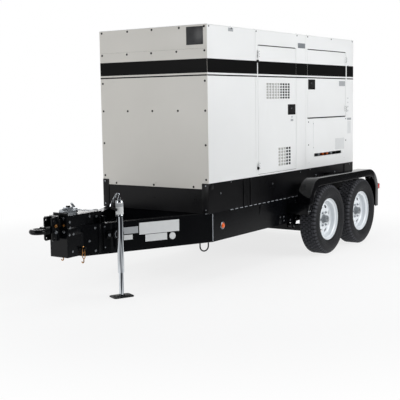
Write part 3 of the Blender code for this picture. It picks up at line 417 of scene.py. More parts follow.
# The pale foam is painted light and the charcoal foam is painted shade: they sit behind slots, seams and
# louvres where light or shade falls.
PAINTED_LIGHT_FOAM = Finish("pale faced sound foam", "CFCFCB", "B9B9B5", 25, 0.8, 0.08, grain=2.0, relief=0.5)
PAINTED_SHADE_FOAM = Finish("charcoal sound foam", "2E2F31", "252628", 25, 0.9, 0.06, grain=2.0, relief=0.6)
HEAT = Finish("aluminised exhaust steel", "8C8A86", "75716C", 40, 0.42, 0.1, 1.0, 2.0, 0.08)
ORANGE = Finish("orange moulded cable socket", "D9641E", "C9561A", 20, 0.4, 0.05, grain=1.0, relief=0.03)
GLASS = Finish("dark gauge lens", "15181B", "1B1F23", 20, 0.08, 0.03, grain=5.0, relief=0.01, coat=0.6)


# ---- shapes ---------------------------------------------------------------
def ordered(a: float, b: float) -> Pair:
    """The two numbers, lower first."""
    return (a, b) if a < b else (b, a)


def arc(centre: Pair, radius: float, start: float, end: float, steps: int) -> list[Pair]:
    """Points on an arc, with its angles in degrees.

    Args:
        centre: The arc's centre.
        radius: Its radius.
        start: First angle.
        end: Last angle.
        steps: Number of chords.

    Returns:
        steps + 1 points.
    """
    angles = [math.radians(start + (end - start) * k / steps) for k in range(steps + 1)]
    return [(centre[0] + radius * math.cos(a), centre[1] + radius * math.sin(a)) for a in angles]


def soften(bm: bmesh.types.BMesh, width: float, segments: int = 2, sharp: float = 40.0) -> None:
    """Rounds every edge that turns more than an angle.

    Args:
        bm: The mesh.
        width: Width of the rounding.
        segments: Number of strips across it.
        sharp: Least angle of an edge that is rounded, in degrees.
    """
    if width <= 0:
        return
    edges = [e for e in bm.edges if e.is_manifold and e.calc_face_angle(0) > math.radians(sharp)]
    bmesh.ops.bevel(
        bm,
        geom=edges,
        offset=width,
        offset_type="OFFSET",
        segments=segments,
        profile=0.5,
        material=-1,
        affect="EDGES",
        clamp_overlap=True,
    )


def block(low: Triple, high: Triple, soft: float = 0.0, segments: int = 2) -> bmesh.types.BMesh:
    """A box between two corners with rounded edges.

    Args:
        low: The lowest corner.
        high: The highest corner.
        soft: How far the edges are rounded, or 0.
        segments: Steps in each rounded edge.

    Returns:
        The box.
    """
    bm = bmesh.new()
    bmesh.ops.create_cube(bm, size=1.0)
    bmesh.ops.scale(bm, vec=Vector(high) - Vector(low), verts=bm.verts)
    bmesh.ops.translate(bm, vec=(Vector(low) + Vector(high)) / 2, verts=bm.verts)
    soften(bm, soft, segments)
    return bm


def outward(
    side: Side, x: Pair, out: Pair, z: Pair, soft: float = 0.0, segments: int = 2
) -> bmesh.types.BMesh:
    """A box whose Y range is counted outwards on one side."""
    near, far = ordered(side.value * out[0], side.value * out[1])
    return block((x[0], near, z[0]), (x[1], far, z[1]), soft, segments)


def plate(
    outline: Sequence[Pair], low: float, high: float, axis: Axis = Axis.ALONG_Y, soft: float = 0.0
) -> bmesh.types.BMesh:
    """An outline pushed along an axis.

    Args:
        outline: Points in the two other axes, in X, Y, Z order.
        low: Where the solid starts on the axis.
        high: Where it ends.
        axis: The axis.
        soft: Width of its rounded edges.

    Returns:
        The solid.
    """
    put = {
        Axis.ALONG_X: lambda a, b: (low, a, b),
        Axis.ALONG_Y: lambda a, b: (a, low, b),
        Axis.ALONG_Z: lambda a, b: (a, b, low),
    }[axis]
    step = Vector(
        {Axis.ALONG_X: (1, 0, 0), Axis.ALONG_Y: (0, 1, 0), Axis.ALONG_Z: (0, 0, 1)}[axis]
    ) * (high - low)
    bm = bmesh.new()
    face = bm.faces.new([bm.verts.new(put(a, b)) for a, b in outline])
    raised = bmesh.ops.extrude_face_region(bm, geom=[face])
    moved = [v for v in raised["geom"] if isinstance(v, bmesh.types.BMVert)]
    bmesh.ops.translate(bm, vec=step, verts=moved)
    bmesh.ops.recalc_face_normals(bm, faces=bm.faces)
    soften(bm, soft)
    return bm


def turned(
    profile: Sequence[Pair], centre: Triple, axis: Triple, sides: int = 32, closed: bool = False
) -> bmesh.types.BMesh:
    """A profile spun about an axis.

    Args:
        profile: Points as (radius, distance along the axis).
        centre: Where distance is nought.
        axis: Direction of the axis.
        sides: Facets round it.
        closed: Whether the profile is a loop.

    Returns:
        The turned solid.
    """
    bm = bmesh.new()
    verts = [bm.verts.new((radius, 0.0, along)) for radius, along in profile]
    edges = [bm.edges.new(pair) for pair in zip(verts, verts[1:])]
    if closed:
        edges.append(bm.edges.new((verts[-1], verts[0])))
    bmesh.ops.spin(
        bm,
        geom=verts + edges,
        cent=(0, 0, 0),
        axis=(0, 0, 1),
        dvec=(0, 0, 0),
        angle=math.tau,
        steps=sides,
        use_merge=True,
    )
    bmesh.ops.remove_doubles(bm, verts=bm.verts, dist=1e-6)
    bmesh.ops.recalc_face_normals(bm, faces=bm.faces)
    spin = Vector((0, 0, 1)).rotation_difference(Vector(axis)).to_matrix()
    bmesh.ops.rotate(bm, cent=(0, 0, 0), matrix=spin, verts=bm.verts)
    bmesh.ops.translate(bm, vec=Vector(centre), verts=bm.verts)
    return bm


def rod(start: Triple, end: Triple, radius: float, sides: int = 20, soft: float = 0.0) -> bmesh.types.BMesh:
    """A round bar between two points, with rounded ends if soft is above nought.

    Args:
        start: The centre of one end.
        end: The centre of the other end.
        radius: The bar's radius.
        sides: Faces around it.
        soft: How far the ends are rounded, or 0.

    Returns:
        The bar.
    """
    run = Vector(end) - Vector(start)
    edge = [(radius, 0.0), (radius, run.length)]
    if soft > 0:
        edge = [
            (radius - soft, 0.0), (radius, soft), (radius, run.length - soft), (radius - soft, run.length)
        ]
    return turned([(0.0, 0.0), *edge, (0.0, run.length)], start, run.normalized(), sides)


def bar(
    points: Sequence[Triple], radius: float, closed: bool = False, round_segments: int = 2
) -> bmesh.types.BMesh:
    """A round bar that follows a smooth line through points.

    Args:
        points: What the line passes through.
        radius: The bar's radius.
        closed: Whether the line returns to its start.
        round_segments: Steps in a quarter of the section.

    Returns:
        The bar.
    """
    curve = bpy.data.curves.new("bar", "CURVE")
    curve.dimensions = "3D"
    curve.bevel_depth = radius
    curve.bevel_resolution = round_segments
    curve.use_fill_caps = True
    spline = curve.splines.new("POLY")
    spline.points.add(len(points) - 1)
    for point, place in zip(spline.points, points):
        point.co = (*place, 1.0)
    spline.use_cyclic_u = closed
    holder = bpy.data.objects.new("bar", curve)
    bpy.context.scene.collection.objects.link(holder)
    bm = mesh_of(holder)
    bpy.data.objects.remove(holder)
    bpy.data.curves.remove(curve)
    bmesh.ops.remove_doubles(bm, verts=bm.verts, dist=1e-6)
    bmesh.ops.recalc_face_normals(bm, faces=bm.faces)
    return bm


def hexagon(centre: Triple, axis: Triple, size: float, height: float) -> bmesh.types.BMesh:
    """A hexagon bolt head, size across its corners' radius.

    Args:
        centre: The middle of the head's foot.
        axis: The way the head faces.
        size: The radius to its corners.
        height: How far it stands up.

    Returns:
        The head.
    """
    tip = Vector(centre) + Vector(axis).normalized() * height
    bm = rod(centre, tip, size, 6)
    soften(bm, size * 0.12, 1, 70)
    return bm


def mesh_of(obj: bpy.types.Object) -> bmesh.types.BMesh:
    """The object's evaluated mesh as a bmesh.

    Args:
        obj: The object, with its modifiers.

    Returns:
        A new bmesh.
    """
    bpy.context.view_layer.update()
    evaluated = obj.evaluated_get(bpy.context.evaluated_depsgraph_get())
    bm = bmesh.new()
    bm.from_mesh(evaluated.to_mesh())
    evaluated.to_mesh_clear()
    return bm


def holder_of(bm: bmesh.types.BMesh) -> bpy.types.Object:
    """A scratch object that holds the bmesh, which is freed.

    Args:
        bm: The shape to hold.

    Returns:
        The scratch object.
    """
    mesh = bpy.data.meshes.new("scratch")
    bm.to_mesh(mesh)
    bm.free()
    obj = bpy.data.objects.new("scratch", mesh)
    bpy.context.scene.collection.objects.link(obj)
    return obj


def joined(shapes: Iterable[bmesh.types.BMesh]) -> bmesh.types.BMesh:
    """All the shapes in one bmesh, not welded.

    Args:
        shapes: What to gather; each is freed.

    Returns:
        The shapes together.
    """
    whole = bmesh.new()
    for shape in shapes:
        store = bpy.data.meshes.new("scratch")
        shape.to_mesh(store)
        shape.free()
        whole.from_mesh(store)
        bpy.data.meshes.remove(store)
    return whole


def carved(solid: bmesh.types.BMesh, cutters: Iterable[bmesh.types.BMesh]) -> bmesh.types.BMesh:
    """The solid less all the cutters.

    Args:
        solid: The shape to cut.
        cutters: Closed shapes that don't touch each other.

    Returns:
        The cut shape.
    """
    base, knife = holder_of(solid), holder_of(joined(cutters))
    change = base.modifiers.new("carve", "BOOLEAN")
    change.operation, change.solver, change.object = "DIFFERENCE", "EXACT", knife
    cut = mesh_of(base)
    for obj in (base, knife):
        mesh = obj.data
        bpy.data.objects.remove(obj)
        bpy.data.meshes.remove(mesh)
    return cut


class Shape:
    """A piece under construction: solids, each with its finish."""

    def __init__(self) -> None:
        """Starts empty."""
        self.mesh = bmesh.new()
        self.finishes: list[Finish] = []

    def add(self, solid: bmesh.types.BMesh, finish: Finish) -> "Shape":
        """Takes a solid in a finish and frees it.

        Args:
            solid: The solid to take.
            finish: What it wears.

        Returns:
            This shape.
        """
        if finish not in self.finishes:
            self.finishes.append(finish)
        for face in solid.faces:
            face.material_index = self.finishes.index(finish)
            face.smooth = True
        store = bpy.data.meshes.new("scratch")
        solid.to_mesh(store)
        solid.free()
        self.mesh.from_mesh(store)
        bpy.data.meshes.remove(store)
        return self

    def make(
        self, name: str, body: str, slot: str, *stands_for: str, crease: float = 35.0
    ) -> bpy.types.Object:
        """Places the piece in the scene, riding on a CAD body.

        Args:
            name: The piece's name.
            body: The CAD body that carries it.
            slot: The record's material slot; not used.
            *stands_for: CAD nodes that it replaces.
            crease: Least angle of an edge that stays sharp, in degrees.

        Returns:
            The piece.
        """
        bmesh.ops.translate(self.mesh, vec=(FRONT, 0, 0), verts=self.mesh.verts)
        mesh = bpy.data.meshes.new(name)
        self.mesh.to_mesh(mesh)
        self.mesh.free()
        for finish in self.finishes:
            mesh.materials.append(finish.material())
        mesh.set_sharp_from_angle(angle=math.radians(crease))
        obj = bpy.data.objects.new(name, mesh)
        bpy.context.scene.collection.objects.link(obj)
        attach(obj, body)
        if stands_for:
            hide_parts(*stands_for)
        LOG.info("%s: %d faces on %s", name, len(mesh.polygons), body)
        return obj


def dress(finish: Finish, *nodes: str) -> None:
    """Gives CAD nodes that stay visible a finish.

    Args:
        finish: What they wear.
        nodes: The names of the CAD nodes.
    """
    for node in nodes:
        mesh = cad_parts[node].data
        mesh.materials.clear()
        mesh.materials.append(finish.material())
        LOG.info("%s wears %s", node, finish.name)


# ---- sub-assemblies -------------------------------------------------------
@dataclass
class Enclosure:
    """The sound-proofed housing: five sheets, three doors, stripe, screws and labels."""

    length: float = 2.841
    half: float = 0.5825
    floor: float = 0.843
    roof: float = 2.1685
    sheet: float = 0.003
    front_floor: float = 0.7955
    notch: float = 0.5142
    front_seam: float = 1.969
    stripe: Pair = (1.770, 1.886)
    pinstripe: Pair = (1.744, 1.755)
    engine_door: tuple[float, float, float, float] = (0.812, 1.536, 0.858, 2.027)
    control_door: tuple[float, float, float, float] = (1.769, 2.655, 1.347, 2.027)
    cable_slot: tuple[float, float, float, float] = (1.913, 2.543, 0.955, 0.987)
    seam: float = 0.0025
    screw: float = 0.0098

    def build(self) -> None:
        """Makes every sheet, door and trim piece."""
        self.front()
        self.rear()
        self.top()
        for side in Side:
            self.wall(side)
            self.door(side, "engine", self.engine_door, hinge_front=True)
        self.door(Side.LEFT, "control", self.control_door, hinge_front=False)

    def front(self) -> None:
        """The front sheet in two parts, with its stripe, screws, blank plate and lower notch."""
        half, low, floor = self.half, self.front_floor, self.floor + 0.0005
        top, seam = self.roof - self.sheet - 0.0005, self.front_seam
        lower = [
            (-half, floor),
            (-self.notch, floor),
            (-self.notch, low),
            (self.notch, low),
            (self.notch, floor),
            (half, floor),
            (half, seam - 0.0003),
            (-half, seam - 0.0003),
        ]
        upper = [(-half, seam + 0.0003), (half, seam + 0.0003), (half, top), (-half, top)]
        shape = Shape()
        # The front sheet wears the darker, painted-shade copy of the white powder coat.
        for outline in (lower, upper):
            shape.add(plate(outline, 0.0, self.sheet, Axis.ALONG_X, 0.0006), SHADE_WARM_WHITE)
        # A charcoal foam block behind the sheet: painted shade seen through the seam.
        shape.add(
            block((self.sheet + 0.001, -half + 0.02, low + 0.02), (0.02, half - 0.02, top - 0.02)),
            PAINTED_SHADE_FOAM
        )
        for low_z, high_z in (self.stripe, self.pinstripe):
            shape.add(block((-0.0005, -half + 0.001, low_z), (0.001, half - 0.001, high_z)), VINYL)
        shape.add(block((-0.0022, -0.545, 2.002), (0.001, -0.375, 2.151), 0.0008), BADGE)
        rows = {
            1.951: (0.0, 0.27, -0.27, 0.557, -0.557),
            1.702: (0.557, -0.557),
            1.455: (0.0, 0.275, -0.275, 0.557, -0.557),
            1.167: (0.557, -0.557),
            0.876: (0.557, -0.557),
            0.811: (0.0, 0.426, -0.426),
            2.148: (0.26, -0.01, -0.3, 0.555, -0.555),
        }
        for z, places in rows.items():
            for y in places:
                shape.add(self.button((0, y, z), (-1, 0, 0)), PLASTIC)
        # This tab wears the same painted-shade white.
        shape.add(block((-0.004, -0.028, 0.826), (0.001, 0.028, 0.842), 0.0015), SHADE_WARM_WHITE)
        shape.make("front_panel", "trailer", "white_enamel", "enclosure_front")

    def button(self, centre: Triple, axis: Triple, size: float = 0.0) -> bmesh.types.BMesh:
        """A domed screw head on a sheet.

        Args:
            centre: The middle of its foot.
            axis: The way it faces.
            size: Its radius, or 0 for a panel screw's.

        Returns:
            The screw head.
        """
        radius = size or self.screw
        dome = [(0.0, radius * 0.45), (radius * 0.55, radius * 0.38), (radius * 0.9, radius * 0.2)]
        return turned([*dome, (radius, 0.0), (radius, -0.001), (0.0, -0.001)], centre, axis, 14)

    def rear(self) -> None:
        """The rear sheet with its intake louvres, stripe and screws."""
        x1, x0 = self.length, self.length - self.sheet
        half, low, top = self.half, self.floor + 0.0005, self.roof - self.sheet - 0.0005
        sheet = block((x0, -half, low), (x1, half, top), 0.0011)
        cuts = [block((x0 - 0.01, -0.35, z), (x1 + 0.01, 0.35, z + 0.025)) for z in self.intakes()]
        seam_z = self.front_seam
        cuts.append(block((x0 - 0.01, -0.7, seam_z - 0.0012), (x1 + 0.01, 0.7, seam_z + 0.0012)))
        shape = Shape().add(carved(sheet, cuts), WHITE)
        for z in self.intakes():
            hood = [
                (x0 - 0.014, z - 0.006), (x0 - 0.001, z + 0.028), (x0 - 0.003, z + 0.030),
                (x0 - 0.016, z - 0.004)
            ]
            # Each louvre's hood is charcoal foam: painted shade inside the louvre.
            shape.add(plate(hood, -0.355, 0.355, Axis.ALONG_Y), PAINTED_SHADE_FOAM)
        for low_z, high_z in (self.stripe, self.pinstripe):
            shape.add(block((x1 - 0.001, -half + 0.001, low_z), (x1 + 0.0005, half - 0.001, high_z)), VINYL)
        for z in (2.148, 1.951, 1.455, 0.876):
            for y in (-0.557, -0.275, 0.0, 0.275, 0.557):
                shape.add(self.button((x1, y, z), (1, 0, 0)), PLASTIC)
        shape.make("rear_panel", "trailer", "white_enamel", "enclosure_rear")

    def intakes(self) -> list[float]:
        """Lower edge of each intake louvre."""
        return [self.floor + 0.10 + 0.05 * k for k in range(6)]

    def top(self) -> None:
        """The roof with its discharge grille, eave bolts and exhaust collar."""
        half, top = self.half, self.roof - 0.0030
        sheet = block((0, -half, self.roof - 0.0060), (self.length, half, top), 0.0014)
        slots = [
            block((x, -0.42, self.roof - 0.02), (x + 0.035, 0.42, self.roof + 0.02))
            for x in (0.04 + 0.055 * k for k in range(5))
        ]
        pipe = rod((0.92, 0.3825, self.roof - 0.03), (0.92, 0.3825, self.roof + 0.02), 0.06, 32)
        shape = Shape().add(carved(sheet, [*slots, pipe]), WHITE)
        collar = [(0.060, -0.004), (0.060, 0.0), (0.070, 0.0018), (0.074, 0.0), (0.074, -0.004)]
        shape.add(turned(collar, (0.92, 0.3825, top + 0.001), (0, 0, 1), 40, closed=True), ZINC)
        for x in (0.376, 0.767, 1.554, 1.777, 2.846 - 0.03):
            for side in Side:
                shape.add(
                    self.button((x, side.value * (half - 0.012), top - 0.0012), (0, 0, 1), 0.009), PLASTIC
                )
        for y in (0.26, -0.01, -0.3, 0.55, -0.55):
            shape.add(self.button((0.012, y, top - 0.0012), (0, 0, 1), 0.009), PLASTIC)
        for x in (0.0, self.length):
            rail = ordered(x, x + (0.012 if x == 0 else -0.012))
            shape.add(block((rail[0], -half, top - 0.001), (rail[1], half, self.roof - 0.0002), 0.001), WHITE)
        shape.make("roof_panel", "trailer", "white_enamel", "enclosure_roof")

    def grid(self, x: Pair, z: Pair, columns: int, rows: int, side: Side) -> list[bmesh.types.BMesh]:
        """Cutters for a grid of vent slots.

        Args:
            x: Range of the grid along the door.
            z: Its range in height.
            columns: Slots in a row.
            rows: Rows.
            side: The side that the door is on.

        Returns:
            One cutter for each slot.
        """
        step_x, step_z = (x[1] - x[0]) / columns, (z[1] - z[0]) / rows
        return [
            outward(
                side,
                (x[0] + step_x * (i + 0.13), x[0] + step_x * (i + 0.87)),
                (self.half - 0.01, self.half + 0.01),
                (z[0] + step_z * (j + 0.16), z[0] + step_z * (j + 0.84)),
            )
            for i in range(columns)
            for j in range(rows)
        ]

    def stripes(self, shape: Shape, side: Side, x: Pair) -> None:
        """Adds the broad and the thin stripe over a stretch of the side."""
        for low_z, high_z in (self.stripe, self.pinstripe):
            shape.add(outward(side, x, (self.half - 0.001, self.half + 0.0005), (low_z, high_z)), VINYL)

    def wall(self, side: Side) -> None:
        """A side sheet with its door windows, seams, stripe, screws and labels.

        Args:
            side: Which side of the machine.
        """
        half, low, top = self.half, self.floor + 0.0005, self.roof - self.sheet - 0.0035
        x0, x1 = self.sheet + 0.0005, self.length - self.sheet - 0.0005
        through = (half - 0.02, half + 0.02)
        sheet = outward(side, (x0, x1), (half - self.sheet, half), (low, top), 0.0011)
        door, panel, slot, gap = self.engine_door, self.control_door, self.cable_slot, self.seam / 2
        cuts = [
            outward(side, door[:2], through, door[2:]),
            outward(side, (0.771 - gap, 0.771 + gap), through, (low - 0.01, top + 0.01)),
            outward(side, (1.736 - gap, 1.736 + gap), through, (low - 0.01, top + 0.01)),
        ]
        if side is Side.LEFT:
            cuts.append(outward(side, panel[:2], through, panel[2:]))
            cuts.append(outward(side, slot[:2], through, slot[2:]))
            cuts.append(outward(side, (1.898 - gap, 1.898 + gap), through, (1.033, 1.316)))
        shape = Shape().add(carved(sheet, cuts), WHITE)
        # Charcoal strips behind the seams: painted shade seen through the gaps.
        backing = (half - 0.012, half - self.sheet - 0.001)
        for edge in (0.771, 1.736):
            shape.add(
                outward(side, (edge - 0.02, edge + 0.02), backing, (low + 0.002, top - 0.002)), PAINTED_SHADE_FOAM
            )
        self.stripes(shape, side, (0.001, door[0] - 0.012))
        if side is Side.LEFT:
            self.stripes(shape, side, (door[1], panel[0]))
            self.stripes(shape, side, (panel[1] + 0.02, self.length - 0.001))
            self.left_trim(shape)
        else:
            self.stripes(shape, side, (door[1], self.length - 0.001))
        for z in (1.883, 0.918):
            rubber = outward(
                side, (0.790, 0.8115), (half - 0.001, half + 0.016), (z - 0.013, z + 0.013), 0.004, 3
            )
            shape.add(rubber, PLASTIC)
        for x in (0.03, 0.376, 0.787, 1.554, 1.777, 2.30, 2.81):
            shape.add(self.button((x, side.value * half, top - 0.012), (0, side.value, 0), 0.0075), PLASTIC)
        # A rubber drip seal runs in the gap over each door, and one under the control door; that lower black
        # strip also paints the shade line under the door.
        seals = [(door[0] + 0.012, door[1] - 0.02, door[3])]
        if side is Side.LEFT:
            seals += [
                (panel[0] + 0.012, panel[1] - 0.02, panel[3]),
                (panel[0] + 0.006, panel[1] - 0.012, panel[2])
            ]
        for start, end, z in seals:
            out = (half - 0.0195, half + 0.0022)
            over = (z - 0.0022, z + 0.0050) if z > 1.5 else (z - 0.0050, z + 0.0042)
            shape.add(outward(side, (start, end), out, over, 0.0008, 1), PLASTIC)
        shape.make(f"side_panel_{side.word}", "trailer", "white_enamel", f"enclosure_{side.word}")

    def left_trim(self, shape: Shape) -> None:
        """Adds the terminal cover, work-light plate, cable sockets and labels of the left side.

        Args:
            shape: The sheet that the pieces join.
        """
        side, half, slot = Side.LEFT, self.half, self.cable_slot
        for x, z in (
            (1.794, 1.309), (1.794, 1.08), (2.655, 1.322), (2.659, 1.09), (2.709, 1.886), (0.806, 1.883)
        ):
            shape.add(self.button((x, -half, z), (0, -1, 0), 0.0075), PLASTIC)
        for x, z in ((1.897, 1.29), (1.897, 1.05)):
            shape.add(self.button((x, -half, z), (0, -1, 0), 0.005), ZINC)
        shape.add(
            outward(side, (1.572, 1.721), (half - 0.001, half + 0.0018), (2.033, 2.080), 0.0008), WORK_LIGHT
        )
        film = (half - 0.001, half + 0.0006)
        for x, z, finish in (
            ((0.325, 0.404), (2.124, 2.154), GREY_LABEL),
            ((2.690, 2.790), (1.306, 1.330), GREY_LABEL),
            ((2.700, 2.780), (1.16, 1.295), LABEL),
            ((2.40, 2.615), (1.00, 1.12), LABEL),
        ):
            shape.add(outward(side, x, film, z), finish)
        # A folded lip frames the cable slot, and the sockets show behind it.
        lip = carved(
            outward(
                side, (slot[0] - 0.01, slot[1] + 0.01), (half - 0.008, half + 0.002),
                (slot[2] - 0.008, slot[3] + 0.008), 0.0015
            ),
            [outward(side, slot[:2], (half - 0.03, half + 0.03), slot[2:])],
        )
        shape.add(lip, WHITE)
        # A charcoal board behind the sockets: painted shade inside the slot.
        shape.add(
            outward(side, (slot[0] - 0.02, slot[1] + 0.02), (half - 0.16, half - 0.13), (0.90, 1.03)),
            PAINTED_SHADE_FOAM
        )
        colours = (PLASTIC, GREY, ORANGE, ORANGE, GREY, PLASTIC)
        for k, finish in enumerate(colours):
            x = slot[0] + 0.075 + 0.096 * k
            ends = [(x, -half + depth, 0.975) for depth in (0.13, 0.03)]
            shape.add(rod(ends[0], ends[1], 0.021, 20, 0.004), finish)
        for x, z in ((1.804, 1.63), (1.804, 0.90), (2.62, 0.90)):
            shape.add(self.button((x, -half, z), (0, -1, 0), 0.004), ZINC)
        for k in range(4):
            z = 1.40 + 0.045 * k
            shape.add(outward(side, (2.700, 2.716), film, (z, z + 0.012)), GREY_LABEL)

    def door(
        self, side: Side, kind: str, window: tuple[float, float, float, float], hinge_front: bool
    ) -> None:
        """A flush door with its folded edge, hinges, latch cup and trim.

        Args:
            side: The side that it is on.
            kind: engine or control.
            window: Its opening, as x from and to, and z from and to.
            hinge_front: Whether it hangs from its front edge.
        """
        name = f"engine_door_{side.word}" if kind == "engine" else "control_door"
        latch = name.replace("door", "latch")
        half, gap = self.half, 0.003
        x0, x1, z0, z1 = window[0] + gap, window[1] - gap, window[2] + gap, window[3] - gap
        if kind == "control":
            z0 += 0.004
        skin = outward(side, (x0, x1), (half - 0.020, half), (z0, z1), 0.0018)
        hollow = outward(
            side, (x0 + 0.003, x1 - 0.003), (half - 0.03, half - 0.003), (z0 + 0.003, z1 - 0.003)
        )
        # the paddle's cup
        free, away = (x1, -1) if hinge_front else (x0, 1)
        edge, off = (x0, -1) if hinge_front else (x1, 1)
        cup = ordered(free + away * 0.014, free + away * 0.164)
        middle = (self.floor + 0.598) if kind == "engine" else (window[2] + 0.336)
        cup_z = (middle - 0.05, middle + 0.05)
        cuts = [hollow]
        opening = outward(
            side, (cup[0] + 0.004, cup[1] - 0.004), (half - 0.01, half + 0.01),
            (cup_z[0] + 0.004, cup_z[1] - 0.004)
        )
        cuts_skin = [opening]
        shape = Shape()
        if kind == "engine":
            cuts_skin += self.grid((0.958, 1.413), (1.543, 1.694), 9, 6, side)
            cuts_skin += self.grid((1.175, 1.429), (0.908, 1.087), 5, 6, side)
        shape.add(carved(carved(skin, cuts), cuts_skin), WHITE)
        if kind == "engine":
            # Painted light and shade behind the vent grids: the left part of the foam is pale as painted
            # light, and the right part is charcoal as painted shade.
            for start, split, end, z in ((0.94, 1.24, 1.43, (1.53, 1.70)), (1.16, 1.33, 1.45, (0.895, 1.10))):
                shape.add(outward(side, (start, split), (half - 0.019, half - 0.008), z), PAINTED_LIGHT_FOAM)
                shape.add(outward(side, (split, end), (half - 0.019, half - 0.014), z), PAINTED_SHADE_FOAM)
            if side is Side.LEFT:
                shape.add(
                    outward(side, (1.425, 1.475), (half - 0.001, half + 0.0006), (1.328, 1.350)), GREY_LABEL
                )
                shape.add(self.button((1.45, -half, 1.37), (0, -1, 0), 0.009), ZINC)
        else:
            shape.add(
                outward(side, (2.488, 2.636), (half - 0.001, half + 0.0006), (1.671, 1.723)), GREY_LABEL
            )
        liner = carved(
            outward(side, cup, (half - 0.0175, half + 0.0012), cup_z, 0.0012),
            [
                outward(
                    side, (cup[0] + 0.006, cup[1] - 0.006), (half - 0.0150, half + 0.01),
                    (cup_z[0] + 0.006, cup_z[1] - 0.006)
                ),
            ],
        )
        shape.add(liner, PLASTIC)
        hinge_x, hinge_y = edge + off * 0.009, side.value * (half + 0.0085)
        for centre in (z0 + 0.075, z1 - 0.075):
            ends = [(hinge_x, hinge_y, centre + d) for d in (-0.035, 0.035)]
            shape.add(rod(ends[0], ends[1], 0.0078, 16, 0.001), WHITE)
            for d in (-0.012, 0.012):
                ring = [(hinge_x, hinge_y, centre + d + e) for e in (-0.0008, 0.0008)]
                shape.add(rod(ring[0], ring[1], 0.0080, 16), PLASTIC)
            leaf = ordered(hinge_x, edge - off * 0.03)
            shape.add(
                outward(side, leaf, (half + 0.0006, half + 0.0035), (centre - 0.034, centre + 0.034), 0.0008),
                WHITE
            )
            for d in (-0.022, 0.0, 0.022):
                place = (edge - off * 0.018, side.value * (half + 0.0035), centre + d)
                shape.add(self.button(place, (0, side.value, 0), 0.0045), PLASTIC)
        inner = ordered(edge - off * 0.001, free)
        self.stripes(shape, side, (inner[0] + 0.001, inner[1] - 0.001))
        shape.make(name + "_panel", name, "white_enamel", name)

        pivot_z = cup_z[1] - 0.015
        paddle = Shape()
        blade = (cup[0] + 0.0085, cup[1] - 0.0085)
        paddle.add(
            outward(
                side, blade, (half - 0.006, half - 0.0002), (cup_z[0] + 0.019, pivot_z + 0.003), 0.0018, 3
            ),
            PLASTIC
        )
        ridge_x = (blade[0] + 0.012, blade[1] - 0.012)
        for k in range(3):
            z = cup_z[0] + 0.026 + 0.008 * k
            paddle.add(
                outward(side, ridge_x, (half - 0.002, half + 0.0008), (z, z + 0.003), 0.0008, 1), PLASTIC
            )
        pin = [(x, side.value * (half - 0.008), pivot_z) for x in (cup[0] + 0.0066, cup[1] - 0.0066)]
        paddle.add(rod(pin[0], pin[1], 0.0036, 14), ZINC)
        barrel = (sum(cup) / 2, side.value * (half - 0.001), cup_z[0] + 0.062)
        paddle.add(rod(barrel, Vector(barrel) + Vector((0, side.value * 0.0028, 0)), 0.009, 20, 0.0008), ZINC)
        paddle.make(latch + "_paddle", latch, "black_plastic", latch)


